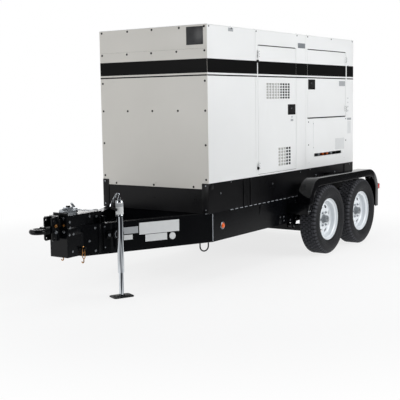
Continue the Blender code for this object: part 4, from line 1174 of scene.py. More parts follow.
@dataclass
class Chassis:
    """Base, rails, tongue and the tow gear."""

    half: float = 0.5825
    base: Pair = (0.589, 0.843)
    rail: Pair = (0.3434, 0.5887)
    ribs: tuple[float, ...] = (0.551, 0.667, 2.62)
    stud: float = 0.0095

    def build(self) -> None:
        """Dresses the CAD frame and adds what is welded or bolted to it."""
        dress(BASE, "skid_base")
        dress(
            BLACK,
            "frame_rail_left",
            "frame_rail_right",
            "tongue_beam_left",
            "tongue_beam_right",
            "crossmember_front",
            "crossmember_rear",
            "tongue_nose",
            "jack_mount",
        )
        self.base_trim()
        for side in Side:
            self.rail_trim(side)
            self.beam_trim(side)
        self.tow_head()

    def base_trim(self) -> None:
        """Ribs, corner posts and bolts of the base."""
        shape = Shape()
        low, high = self.base
        for side in Side:
            tall, deep = (low + 0.002, high - 0.002), self.half - 0.002
            for x in self.ribs:
                strip = ((x - 0.004, x + 0.004), (deep, self.half + 0.006))
                shape.add(outward(side, *strip, tall, 0.0015), BASE)
            for x in (0.612, 1.782):
                strip = ((x - 0.0015, x + 0.0015), (deep, self.half + 0.0012))
                shape.add(outward(side, *strip, tall), BASE)
            cap = ((0.001, 0.069), (deep, self.half + 0.003), (high - 0.05, high - 0.001))
            shape.add(outward(side, *cap, 0.001), BASE)
            studs = ((0.177, 0.749), (1.067, 0.754), (1.951, 0.764), (2.386, 0.767))
            screws = ((0.346, 0.830), (0.672, 0.830), (1.619, 0.82), (1.826, 0.832), (2.75, 0.825))
            for places, size, height in ((studs, self.stud, 0.006), (screws, 0.006, 0.004)):
                for x, z in places:
                    foot = (x, side.value * self.half, z)
                    shape.add(hexagon(foot, (0, side.value, 0), size, height), ZINC)
            post = ordered(side.value * 0.5145, side.value * self.half)
            shape.add(block((-0.005, post[0], low + 0.003), (0.002, post[1], high - 0.0005), 0.0015), BASE)
            for z in (0.825, 0.62):
                shape.add(hexagon((-0.005, side.value * 0.555, z), (-1, 0, 0), 0.007, 0.004), ZINC)
        for y in (0.0, -0.426, 0.426):
            shape.add(hexagon((0.0, y, 0.700), (-1, 0, 0), 0.007, 0.004), BASE)
        shape.make("base_trim", "trailer", "black_enamel")

    def weld(
        self, start: Triple, end: Triple, radius: float = 0.004, ripple: float = 0.007
    ) -> bmesh.types.BMesh:
        """A weld bead: a bar whose radius ripples along its length.

        Args:
            start: Where the bead starts.
            end: Where it ends.
            radius: Its mean radius.
            ripple: The length of one ripple.

        Returns:
            The bead.
        """
        run = Vector(end) - Vector(start)
        count = max(3, round(run.length / ripple))
        profile = [(0.0, 0.0)]
        for k in range(count):
            at = run.length * (k + 0.25) / count
            profile.append((radius * 0.78, at))
            profile.append((radius, at + run.length / count * 0.5))
        return turned([*profile, (0.0, run.length)], start, run.normalized(), 8)

    def rail_trim(self, side: Side) -> None:
        """Welds, bolts, hanger gussets and side marker of one rail.

        Args:
            side: Which rail.
        """
        shape, g = Shape(), side.value
        y = g * (self.half + 0.0005)
        # The stitch welds are painted light grey as highlights.
        for k in range(16):
            x = 0.33 + 0.079 * k
            shape.add(self.weld((x, y, 0.5885), (x + 0.045, y, 0.5885), 0.0035), HIGHLIGHT_WELD)
        # The vertical bead is also painted light as a highlight.
        shape.add(
            self.weld((0.0505, y, self.rail[0] + 0.004), (0.0505, y, self.rail[1] - 0.004), 0.0045, 0.009),
            HIGHLIGHT_WELD
        )
        shape.add(
            outward(
                side, (0.829, 0.841), (self.half - 0.001, self.half + 0.004), (0.49, self.rail[1] - 0.002),
                0.001
            ),
            BLACK
        )
        bolts = (
            (1.207, 0.419), (1.276, 0.416), (1.276, 0.377), (1.405, 0.372), (1.517, 0.375), (1.76, 0.372)
        )
        for x, z in bolts:
            shape.add(hexagon((x, g * self.half, z), (0, g, 0), 0.010, 0.007), ZINC)
        shape.add(
            outward(side, (1.18, 1.56), (self.half - 0.001, self.half + 0.0045), (0.350, 0.435), 0.0015),
            BLACK
        )
        for x in (1.474, 2.163, 2.8524):
            outline = [(x - 0.075, 0.375), (x - 0.024, 0.279), (x + 0.024, 0.279), (x + 0.075, 0.375)]
            near, far = ordered(g * (self.half - 0.0045), g * (self.half + 0.0015))
            shape.add(plate(outline, near, far, Axis.ALONG_Y, 0.001), BLACK)
            shape.add(hexagon((x, g * (self.half + 0.0015), 0.305), (0, g, 0), 0.013, 0.008), ZINC)
        lens = [
            (0.0, 0.016), (0.014, 0.0142), (0.022, 0.009), (0.0255, 0.003), (0.0255, -0.001), (0.0, -0.001)
        ]
        centre = (0.203, g * self.half, 0.467)
        bezel = [(0.0255, 0.006), (0.031, 0.0045), (0.033, -0.001), (0.0255, -0.001)]
        shape.add(turned(bezel, centre, (0, g, 0), 36, closed=True), ZINC)
        shape.add(turned(lens, centre, (0, g, 0), 32), AMBER)
        shape.make(f"rail_trim_{side.word}", "trailer", "black_enamel")
        ring = self.ring(side)
        ring.make(f"lashing_ring_{side.word}", "trailer", "black_enamel")

    def ring(self, side: Side) -> Shape:
        """A smooth lashing ring over the CAD one, under the beam's rear end, and its weld tabs.

        Args:
            side: Which beam.

        Returns:
            The ring and its tabs.
        """
        beam, middle, out, reach = BeamFrame(side), 0.065, -0.035, 0.041
        path = [beam.at(middle - reach, out, 0.352)]
        path += [beam.at(middle + a, out, b) for a, b in arc((0, self.rail[0] - 0.035), reach, 180, 360, 24)]
        path.append(beam.at(middle + reach, out, 0.352))
        shape = Shape().add(bar(path, 0.0058, round_segments=3), BLACK)
        # The weld tabs are painted light as highlights.
        for at in (middle - reach, middle + reach):
            shape.add(
                beam.box((at - 0.010, at + 0.010), (out - 0.012, out + 0.012), (0.338, 0.346), 0.002), HIGHLIGHT_WELD
            )
        return shape

    def beam_trim(self, side: Side) -> None:
        """Edge welds, brake pipe and, on the left, the blank labels of a tongue beam.

        Args:
            side: Which beam.
        """
        shape = Shape()
        rest = BeamFrame(side)
        # The edge welds are painted light as highlights.
        for out in (0.0, -0.07):
            shape.add(
                self.weld(rest.at(0.012, out, self.rail[1]), rest.at(0.070, out, self.rail[1]), 0.003), HIGHLIGHT_WELD
            )
        pipe = [rest.at(s, -0.085, 0.48) for s in (0.05, 0.4, 0.8, 1.05)]
        shape.add(bar(pipe, 0.004), FORGED)
        if side is Side.LEFT:
            for along, z, finish in (
                ((0.325, 0.694), (0.470, 0.566), LABEL),
                ((0.440, 0.640), (0.408, 0.466), LABEL),
                ((0.704, 0.838), (0.486, 0.540), GREY_LABEL),
                ((0.755, 0.832), (0.438, 0.478), LABEL),
            ):
                shape.add(rest.box(along, (0.0, 0.0008), z), finish)
            disc = [rest.at(0.389, out, 0.434) for out in (0.0, 0.0008)]
            shape.add(rod(disc[0], disc[1], 0.029, 32), LABEL)
        for along, z in ((1.08, 0.56), (1.08, 0.38), (1.13, 0.46)):
            head = rest.at(along, 0.0, z)
            shape.add(hexagon(head, rest.out, 0.0105, 0.007), ZINC)
        shape.add(rest.box((1.035, 1.055), (-0.001, 0.006), (0.350, 0.583), 0.0015), BLACK)
        shape.make(f"beam_trim_{side.word}", "trailer", "black_enamel")

    def tow_head(self) -> None:
        """Coupler housing, drilled channel, ring, brake cylinder, lever and chains."""
        dress(BLACK, "coupler_housing")
        trim = Shape()
        for g in (-1, 1):
            for x, z in (
                (-1.177, 0.633), (-1.174, 0.587), (-1.182, 0.534), (-1.138, 0.535), (-0.871, 0.640),
                (-0.95, 0.652)
            ):
                trim.add(hexagon((x, g * 0.089, z), (0, g, 0), 0.0105, 0.008), ZINC)
            for x, z in ((-0.990, 0.428), (-1.150, 0.40)):
                trim.add(hexagon((x, g * 0.089, z), (0, g, 0), 0.009, 0.006), ZINC)
            trim.add(
                block((-1.20, g * 0.092 - 0.003, 0.527), (-1.03, g * 0.092 + 0.003, 0.588), 0.0015), BLACK
            )
            for x in (-0.86, -0.81):
                trim.add(
                    block(
                        (x - 0.005, ordered(g * 0.089, g * 0.125)[0], 0.5895),
                        (x + 0.005, ordered(g * 0.089, g * 0.125)[1], 0.640), 0.001
                    ),
                    BLACK
                )
        for y, z, finish in (
            (-0.064, 0.62, YELLOW_ZINC), (0.064, 0.62, YELLOW_ZINC), (-0.064, 0.57, ZINC),
            (0.064, 0.57, ZINC)
        ):
            trim.add(hexagon((-1.205, y, z - 0.01), (-1, 0, 0), 0.012, 0.010), finish)
            trim.add(rod((-1.205, y, z - 0.01), (-1.224, y, z - 0.01), 0.006, 12), finish)
        for y in (-0.063, 0.063):
            trim.add(hexagon((-1.205, y, 0.662), (-1, 0, 0), 0.010, 0.008), ZINC)
        # Brake line from the cylinder along the housing, down between the beams.
        line = [(-1.0, 0.0, 0.702), (-0.975, -0.01, 0.703), (-0.93, -0.03, 0.692), (-0.86, -0.045, 0.688)]
        line += [
            (-0.81, -0.045, 0.687), (-0.785, -0.045, 0.676), (-0.782, -0.045, 0.60), (-0.782, -0.045, 0.50)
        ]
        trim.add(bar(line, 0.004, round_segments=2), ZINC)
        for k in range(6):
            x = -1.158 + 0.008 * k
            trim.add(
                turned(
                    [(0.0225, -0.002), (0.0245, 0.0), (0.0225, 0.002), (0.020, 0.0)], (x, 0, 0.7023),
                    (1, 0, 0), 28, closed=True
                ),
                ZINC
            )
        cap = [(0.0, 0.010), (0.015, 0.010), (0.018, 0.006), (0.018, 0.0), (0.0, 0.0)]
        trim.add(turned(cap, (-1.09, 0, 0.735), (0, 0, 1), 24), PLASTIC)
        trim.add(block((-1.185, -0.070, 0.6805), (-1.165, 0.070, 0.700), 0.002), BLACK)
        trim.make("coupler_trim", "trailer", "black_enamel")
        dress(ZINC, "master_cylinder")
        self.slide()
        self.lever()
        for side in Side:
            self.chain(side)

    def slide(self) -> None:
        """The drilled channel with its tube and the towing ring bolted in it."""
        shape = Shape()
        web, front, back = -1.253, -1.316, -1.236
        shape.add(block((web, -0.045, 0.496), (back, 0.045, 0.684), 0.004), BLACK)
        for g in (-1, 1):
            near, far = ordered(g * 0.033, g * 0.045)
            outline = [
                (web + 0.005, 0.498), (front + 0.012, 0.496), (front, 0.508), (front, 0.672),
                (front + 0.012, 0.684), (web + 0.005, 0.682)
            ]
            holes = [
                rod((-1.296, near - 0.01, z), (-1.296, far + 0.01, z), 0.0085, 20) for z in (0.517, 0.657)
            ]
            shape.add(carved(plate(outline, near, far, Axis.ALONG_Y, 0.0012), holes), BLACK)
            for x, z, finish in ((-1.283, 0.612, YELLOW_ZINC), (-1.283, 0.566, ZINC)):
                shape.add(hexagon((x, g * 0.045, z), (0, g, 0), 0.0135, 0.010), finish)
                shape.add(rod((x, g * 0.045, z), (x, g * 0.062, z), 0.0075, 14), finish)
        shape.add(block((back - 0.004, -0.035, 0.595), (-0.95, 0.035, 0.655), 0.004), FORGED)
        shape.make("coupler_channel", "coupler", "black_enamel", "coupler_slide")

        ring = Shape()
        section = arc((0, 0), 0.0203, 0, 345, 23)
        ring.add(
            turned([(0.048 + a, b) for a, b in section], (-1.4185, 0, 0.585), (0, 0, 1), 56, closed=True),
            BLACK
        )
        neck = [(-1.380, -0.024), (-1.352, -0.0325), (web - 0.0005, -0.0325)]
        neck += [(x, -y) for x, y in reversed(neck)]
        ring.add(plate(neck, 0.556, 0.614, Axis.ALONG_Z, 0.004), BLACK)
        ring.make("towing_ring", "coupler", "black_steel", "lunette_ring")

    def lever(self) -> None:
        """The breakaway lever with its hole and cable stub."""
        x, z = -0.97, 0.698
        outline = [(x - 0.012, 0.686), (x + 0.012, 0.686), (x + 0.004, 0.715), (x - 0.036, 0.757)]
        outline += [(x - 0.046, 0.760), (x - 0.055, 0.753), (x - 0.024, 0.712)]
        holes = [rod((x - 0.044, 0.0, 0.748), (x - 0.044, 0.06, 0.748), 0.004, 16)]
        holes.append(rod((x, 0.0, z), (x, 0.06, z), 0.0055, 20))
        shape = Shape().add(carved(plate(outline, 0.030, 0.037, Axis.ALONG_Y, 0.001), holes), ZINC)
        sleeve = [(0.0055, -0.006), (0.0105, -0.006), (0.0105, 0.007), (0.0055, 0.007)]
        shape.add(turned(sleeve, (x, 0.033, z), (0, 1, 0), 24, closed=True), ZINC)
        loop = [
            (x - 0.044 + 0.0085 * math.cos(a), 0.0335 + 0.009 * math.sin(a), 0.7515)
            for a in (math.tau * k / 16 for k in range(16))
        ]
        shape.add(bar(loop, 0.0016, closed=True), CHROME)
        shape.make("breakaway_blade", "breakaway_lever", "zinc", "breakaway_lever")

    def chain(self, side: Side) -> None:
        """Links and hook of one safety chain.

        Args:
            side: Which chain.
        """
        y, x, stud = side.value * 0.108, -1.045, 0.415
        wire, radius, straight = 0.0039, 0.013, 0.012
        first = stud + 0.0075 + 0.004 - straight - radius
        second = first - (2 * (straight + radius) - 6 * 0.001)
        shape = Shape()
        for middle, flat in ((first, True), (second, False)):
            outline = arc((0, straight), radius, 0, 180, 10) + arc((0, -straight), radius, 180, 360, 10)
            path = [(x + a, y, middle + b) if flat else (x, y + a, middle + b) for a, b in outline]
            shape.add(bar(path, wire, closed=True, round_segments=3), YELLOW_ZINC)
        top = second - straight - radius
        hook = [(x, y, top + 0.001), (x, y, top - 0.012)]
        hook += [(a, y, b) for a, b in arc((x - 0.011, top - 0.022), 0.011, 30, -190, 14)]
        shape.add(bar(hook, 0.0044, round_segments=3), YELLOW_ZINC)
        name = f"safety_chain_{side.word}"
        shape.make(name + "_links", name, "yellow_zinc", name)


class BeamFrame:
    """Directions along a tongue beam: along it from the rail's corner, out of its face, and up."""

    def __init__(self, side: Side) -> None:
        """Finds the beam's directions on one side.

        Args:
            side: Which beam.
        """
        self.side = side
        angle = math.atan2(0.5825 - 0.089, 0.0497 + 1.0217)
        self.ahead = Vector((-math.cos(angle), -side.value * math.sin(angle), 0))
        self.out = Vector((-math.sin(angle), side.value * math.cos(angle), 0))
        self.corner = Vector((0.0497, side.value * 0.5825, 0))

    def at(self, along: float, out: float, z: float) -> Vector:
        """The point this far along, out and up."""
        return self.corner + self.ahead * along + self.out * out + Vector((0, 0, z))

    def box(self, along: Pair, out: Pair, z: Pair, soft: float = 0.0) -> bmesh.types.BMesh:
        """A box in the beam's directions.

        Args:
            along: Its reach along the beam.
            out: Its reach outwards.
            z: Its reach in height.
            soft: How far the edges are rounded, or 0.

        Returns:
            The box.
        """
        bm = block((along[0], out[0], z[0]), (along[1], out[1], z[1]), soft)
        turn = Matrix((self.ahead, self.out, Vector((0, 0, 1)))).transposed()
        bmesh.ops.transform(bm, matrix=Matrix.Translation(self.corner) @ turn.to_4x4(), verts=bm.verts)
        if turn.determinant() < 0:
            bmesh.ops.reverse_faces(bm, faces=bm.faces)
        return bm


@dataclass
class Jack:
    """The swivelling tongue jack, placed along the left beam."""

    along: float = 0.898
    offset: float = 0.072
    pivot: float = 0.50
    tube: float = 0.0255
    bore: float = 0.0202
    leg: float = 0.0193
    head: float = 0.0298
    head_top: float = 0.770
    grip: float = 0.066
    beam: BeamFrame = field(default_factory=lambda: BeamFrame(Side.LEFT))

    def at(self, along: float, out: float, z: float) -> Vector:
        """A point counted from the jack's footing on the beam."""
        return self.beam.at(self.along + along, out, z)

    def build(self) -> None:
        """Makes tube, leg, crank and pin."""
        centre = self.at(0, self.offset, 0)
        up = Vector((0, 0, 1))
        shape = Shape()
        r, h = self.tube, self.head
        outer = [
            (self.bore, 0.196), (r - 0.001, 0.195), (r, 0.197), (r, 0.640), (r + 0.0008, 0.642), (h, 0.644),
            (h, 0.650)
        ]
        outer += [
            (h, 0.764), (h - 0.003, 0.769), (h - 0.010, 0.7695), (0.0, 0.7695), (0.0, 0.71),
            (self.bore, 0.71)
        ]
        shape.add(turned(outer, centre, up, 48, closed=True), CHROME)
        shape.add(
            turned(
                [(h, -0.047), (h + 0.0004, -0.046), (h + 0.0004, 0.046), (h, 0.047)], centre + up * 0.708,
                up, 48, closed=True
            ),
            LABEL
        )
        band = [(h + 0.0004, -0.014), (h + 0.0007, -0.013), (h + 0.0007, 0.013), (h + 0.0004, 0.014)]
        shape.add(turned(band, centre + up * 0.735, up, 48, closed=True), GREY_LABEL)
        for z in (0.655, 0.762):
            shape.add(
                turned([(h, -0.003), (h + 0.0012, 0.0), (h, 0.003)], centre + up * z, up, 48, closed=True),
                CHROME
            )
        collar = rod(self.at(0, 0.0107, self.pivot), self.at(0, 0.0495, self.pivot), 0.046, 40, 0.003)
        bore = rod(self.at(0, 0, self.pivot), self.at(0, 0.0363, self.pivot), 0.0305, 40)
        shape.add(carved(collar, [bore]), BLACK)
        # The collar's weld is painted light as a highlight.
        weld = [self.at(a, 0.0493, self.pivot + b) for a, b in arc((0, 0), 0.032, 0, 345, 24)]
        shape.add(bar(weld, 0.0022, closed=True), HIGHLIGHT_WELD)
        lug = self.beam.box(
            (
                self.along + 0.038, self.along + 0.095
            ), (0.0107, 0.030), (self.pivot - 0.030, self.pivot + 0.030), 0.003
        )
        hole = rod(self.at(0.078, 0, self.pivot), self.at(0.078, 0.05, self.pivot), 0.0065, 20)
        shape.add(carved(lug, [hole]), BLACK)
        shape.make("jack_housing", "jack_tube", "zinc", "jack_tube")

        leg = Shape()
        profile = [(0.0, 0.011), (self.leg, 0.011), (self.leg, 0.498), (self.leg - 0.002, 0.50), (0.0, 0.50)]
        leg.add(turned(profile, centre, up, 48), CHROME)
        foot = self.foot_outline()
        leg.add(foot, FORGED)
        flange = [(0.0193, 0.0155), (0.0225, 0.0145), (0.0295, 0.0115), (0.0193, 0.011)]
        leg.add(turned(flange, centre, up, 40, closed=True), FORGED)
        leg.make("jack_foot", "jack_leg", "zinc", "jack_leg")

        self.crank(centre)
        pin = Shape()
        pin.add(
            rod(self.at(0.078, 0.0118, self.pivot), self.at(0.078, 0.046, self.pivot), 0.0059, 20, 0.001),
            ZINC
        )
        pin.add(
            rod(self.at(0.078, 0.0307, self.pivot), self.at(0.078, 0.0498, self.pivot), 0.0108, 24, 0.0025),
            ZINC
        )
        pin.make("jack_pin_pull", "jack_pin", "zinc", "jack_pin")
        trim = Shape()
        for along, z in ((-0.038, 0.40), (0.105, 0.40), (-0.038, 0.565), (0.105, 0.565)):
            trim.add(hexagon(self.at(along, 0.0103, z), self.beam.out, 0.0066, 0.0065), ZINC)
        trim.make("jack_mount_bolts", "trailer", "zinc")

    def foot_outline(self) -> bmesh.types.BMesh:
        """The foot plate with cut corners.

        Returns:
            The plate.
        """
        bm = self.beam.box(
            (
                self.along - 0.0875, self.along + 0.0875
            ), (self.offset - 0.060, self.offset + 0.060), (0.0, 0.010)
        )
        corners = [e for e in bm.edges if abs((e.verts[0].co - e.verts[1].co).normalized().z) > 0.9]
        bmesh.ops.bevel(
            bm, geom=corners, offset=0.022, offset_type="OFFSET", segments=4, profile=0.5, material=-1,
            affect="EDGES"
        )
        soften(bm, 0.002, 2, 60)
        return bm

    def crank(self, centre: Vector) -> None:
        """The cranked handle with its ribbed grip.

        Args:
            centre: A point on the jack's axis.
        """
        top = centre + Vector((0, 0, self.head_top))
        shape = Shape()
        hub = [
            (0.0, 0.0005), (0.013, 0.0005), (0.0138, 0.003), (0.0138, 0.018), (0.011, 0.0215), (0.0, 0.0215)
        ]
        shape.add(turned(hub, top, (0, 0, 1), 32), CHROME)
        grip = self.at(0.077, self.offset, 0.724)
        ahead, out = self.beam.ahead, self.beam.out
        run = out * 0.055 - ahead * 0.030 - Vector((0, 0, 0.022))
        path = [top + Vector((0, 0, z)) for z in (0.018, 0.036, 0.044)]
        path += [top + Vector((0, 0, 0.051)) + ahead * 0.004, top + Vector((0, 0, 0.055)) + ahead * 0.012]
        path += [top + Vector((0, 0, 0.051)) + ahead * 0.022, self.at(0.034, self.offset, 0.804)]
        path += [
            self.at(along, self.offset, z) for along, z in ((0.048, 0.780), (0.062, 0.758), (0.072, 0.743))
        ]
        path += [grip + Vector((0, 0, 0.005)), grip + run * 0.15]
        shape.add(bar(path, 0.0066, round_segments=3), CHROME)
        profile: list[Pair] = [(0.0, 0.0)]
        for k in range(9):
            at = self.grip * k / 9
            profile += [(0.0085, at + 0.0005), (0.0108, at + 0.0036), (0.0085, at + 0.0066)]
        profile.append((0.0, self.grip))
        shape.add(turned(profile, grip, run.normalized(), 24), PLASTIC)
        # Ribs on the long arm, as on a moulded sleeve.
        start, end = self.at(0.035, self.offset, 0.802), self.at(0.068, self.offset, 0.749)
        for k in range(7):
            at = start.lerp(end, k / 6)
            ribs = [(0.0062, -0.0028), (0.0092, 0.0), (0.0062, 0.0028)]
            shape.add(turned(ribs, at, (end - start).normalized(), 20, closed=True), CHROME)
        shape.make("jack_handle", "jack_crank", "zinc", "jack_crank")


@dataclass
class Wheel:
    """One tyre and wheel on its hub."""

    side: Side
    axle: str
    radius: float = 0.345
    section: float = 0.203
    rim: float = 0.208
    lug_rows: int = 52
    windows: int = 8

    def build(self) -> None:
        """Makes the tyre with its tread, the rim with its windows, and the hub."""
        name = f"{self.axle}_{self.side.word}"
        low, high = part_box(f"tyre_{name}")
        centre = (low + high) / 2
        self.centre = Vector((centre.x - FRONT, centre.y, centre.z))
        self.out = Vector((0, self.side.value, 0))
        body = f"wheel_{name}"
        self.tyre().make(f"tyre_{name}_tread", body, "tyre", f"tyre_{name}")
        self.wheel().make(f"wheel_{name}_rim", body, "rim_enamel", f"wheel_{name}")

    def tyre(self) -> Shape:
        """The carcass with its moulded rings, and the tread blocks.

        Returns:
            The tyre, in place on its axle.
        """
        half = self.section / 2
        base = self.radius - 0.009
        outer = [(0.1870, 0.0440), (0.2018, 0.0488), (0.2105, 0.0680), (0.2150, 0.0745), (0.2200, 0.0770)]
        outer += [
            (0.2235, 0.0830), (0.2260, 0.0838), (0.2290, 0.0862), (0.2480, 0.0950), (0.2500, 0.0975),
            (0.2520, 0.0970), (0.2630, half - 0.0010), (0.2720, half - 0.0002), (0.2740, half),
            (0.2800, half - 0.0010), (0.2920, 0.0985), (0.2940, 0.0995), (0.2960, 0.0975),
            (0.3080, 0.0930), (0.3200, 0.0865), (0.3300, 0.0780), (base, 0.0660), (base + 0.001, 0.0),
        ]
        inner = [
            (self.radius - 0.016, 0.0), (self.radius - 0.018, 0.055), (0.309, 0.0735), (0.262, 0.0890),
            (0.222, 0.060), (0.1870, 0.030)
        ]
        profile = outer + [(r, -s) for r, s in reversed(outer[:-1])]
        profile += [(r, -s) for r, s in reversed(inner)] + inner[1:]
        shape = Shape().add(turned(profile, self.centre, self.out, 96, closed=True), RUBBER)
        shape.add(self.blocks(base), TREAD)
        return shape

    def blocks(self, base: float) -> bmesh.types.BMesh:
        """The tread: staggered blocks between grooves, and shoulder lugs.

        Args:
            base: The radius that the blocks stand on.

        Returns:
            The blocks.
        """
        step = math.tau / self.lug_rows
        pitch = step * self.radius
        rows = (
            (0.0, 0.0, 0.024), (0.029, 0.5, 0.022), (-0.029, 0.5, 0.022), (0.0545, 0.0, 0.020),
            (-0.0545, 0.0, 0.020)
        )
        sector = []
        for across, shift, width in rows:
            piece = block(
                (base - 0.002, -pitch * 0.37, -width / 2), (self.radius - 0.0004, pitch * 0.37, width / 2)
            )
            bmesh.ops.rotate(
                piece, cent=(0, 0, 0), matrix=Matrix.Rotation(math.radians(14 if shift else -10), 3, "X"),
                verts=piece.verts
            )
            top = [e for e in piece.edges if min(v.co.x for v in e.verts) > base]
            bmesh.ops.bevel(
                piece, geom=top, offset=0.0016, offset_type="OFFSET", segments=1, profile=0.5, material=-1,
                affect="EDGES"
            )
            bmesh.ops.translate(piece, vec=(0, 0, across), verts=piece.verts)
            bmesh.ops.rotate(
                piece, cent=(0, 0, 0), matrix=Matrix.Rotation(step * shift, 3, "Z"), verts=piece.verts
            )
            sector.append(piece)
        for g in (-1, 1):
            lug = [
                (0.3290, 0.0700), (0.3405, 0.0700), (0.3395, 0.0735), (0.3270, 0.0825), (0.3190, 0.0885),
                (0.3150, 0.0860)
            ]
            wedge = plate([(r, g * s) for r, s in lug], -pitch * 0.30, pitch * 0.30, Axis.ALONG_Y)
            sector.append(wedge)
        whole = joined(sector)
        first = list(whole.verts) + list(whole.edges) + list(whole.faces)
        for k in range(1, self.lug_rows):
            copy = bmesh.ops.duplicate(whole, geom=first)["geom"]
            verts = [v for v in copy if isinstance(v, bmesh.types.BMVert)]
            bmesh.ops.rotate(whole, cent=(0, 0, 0), matrix=Matrix.Rotation(step * k, 3, "Z"), verts=verts)
        turn = Vector((0, 0, 1)).rotation_difference(self.out).to_matrix()
        bmesh.ops.rotate(whole, cent=(0, 0, 0), matrix=turn, verts=whole.verts)
        bmesh.ops.translate(whole, vec=self.centre, verts=whole.verts)
        return whole

    def wheel(self) -> Shape:
        """Rim and disc with its windows, hub, drum, nuts and cap.

        Returns:
            The wheel, in place on its axle.
        """
        rim = [
            (0.036, 0.010), (0.060, 0.011), (0.085, 0.016), (0.108, 0.014), (0.140, 0.004), (0.162, 0.000),
            (0.1745, 0.010), (0.1770, 0.030), (0.1790, 0.046), (0.1860, 0.0505), (0.1960, 0.0545),
            (0.1995, 0.060), (0.2010, 0.066), (0.2030, 0.0695), (0.2065, 0.0700), (0.2078, 0.0670),
            (0.2060, 0.0600), (0.2025, 0.0512), (0.1862, 0.0462), (0.1862, 0.020), (0.1800, 0.010),
            (0.1800, -0.012), (0.1862, -0.022), (0.1862, -0.0462), (0.2025, -0.0512), (0.2078, -0.0670),
            (0.2065, -0.0700), (0.2030, -0.0695), (0.1990, -0.0540), (0.1800, -0.0490), (0.1770, -0.020),
            (0.1730, -0.0045), (0.160, -0.0045), (0.140, -0.0005), (0.108, 0.0095), (0.085, 0.0115),
            (0.060, 0.0065), (0.036, 0.0055),
        ]
        disc = turned(rim, self.centre, self.out, 96, closed=True)
        cutters = []
        for k in range(self.windows):
            cutters.append(self.window(math.tau * (k + 0.5) / self.windows))
        for k in range(6):
            at = self.around(0.0705, math.tau * k / 6, 0.0)
            cutters.append(rod(at - self.out * 0.03, at + self.out * 0.03, 0.0072, 16))
        shape = Shape().add(carved(disc, cutters), RIM)
        drum = [
            (0.0, -0.005), (0.060, -0.005), (0.062, -0.024), (0.118, -0.026), (0.1265, -0.031),
            (0.1275, -0.040)
        ]
        drum += [
            (0.1255, -0.044), (0.1275, -0.048), (0.1275, -0.086), (0.1240, -0.0875), (0.045, -0.0905),
            (0.021, -0.0915), (0.0, -0.0915)
        ]
        shape.add(turned(drum, self.centre, self.out, 64), FORGED)
        hub = [
            (0.0, 0.058), (0.030, 0.058), (0.0345, 0.055), (0.0355, 0.050), (0.036, 0.020), (0.044, 0.0165),
            (0.0455, 0.008), (0.0, 0.004)
        ]
        shape.add(turned(hub, self.centre, self.out, 48), GREY)
        cap = [(0.0, 0.0655), (0.016, 0.0650), (0.0225, 0.0625), (0.0245, 0.0575), (0.0, 0.0575)]
        shape.add(turned(cap, self.centre, self.out, 40), ZINC)
        for k in range(6):
            at = self.around(0.0705, math.tau * k / 6, 0.013)
            shape.add(rod(at - self.out * 0.018, at + self.out * 0.019, 0.0055, 12, 0.001), ZINC)
            shape.add(hexagon(at, self.out, 0.0122, 0.012), ZINC)
        valve = self.around(0.166, math.radians(200), 0.0)
        shape.add(rod(valve, valve + self.out * 0.032, 0.0042, 12, 0.001), RUBBER)
        return shape

    def around(self, radius: float, angle: float, out: float) -> Vector:
        """A point about the wheel's axis."""
        return self.centre + Vector((radius * math.cos(angle), 0, radius * math.sin(angle))) + self.out * out

    def window(self, angle: float) -> bmesh.types.BMesh:
        """A kidney-shaped cutter in the disc.

        Args:
            angle: Where it lies around the disc.

        Returns:
            The cutter.
        """
        spread = math.radians(10.5)
        inner = [(0.112 * math.cos(a), 0.112 * math.sin(a)) for a in (-spread, 0.0, spread)]
        outer = [(0.142 * math.cos(a), 0.142 * math.sin(a)) for a in (spread, 0.0, -spread)]
        cutter = plate(inner + outer, -0.03, 0.03, Axis.ALONG_Z)
        corners = [e for e in cutter.edges if abs((e.verts[0].co - e.verts[1].co).normalized().z) > 0.9]
        bmesh.ops.bevel(
            cutter, geom=corners, offset=0.007, offset_type="OFFSET", segments=3, profile=0.5, material=-1,
            affect="EDGES", clamp_overlap=True
        )
        bmesh.ops.rotate(cutter, cent=(0, 0, 0), matrix=Matrix.Rotation(angle, 3, "Z"), verts=cutter.verts)
        turn = Matrix.Rotation(math.radians(90), 3, "X")
        bmesh.ops.rotate(cutter, cent=(0, 0, 0), matrix=turn, verts=cutter.verts)
        bmesh.ops.translate(cutter, vec=self.centre, verts=cutter.verts)
        return cutter


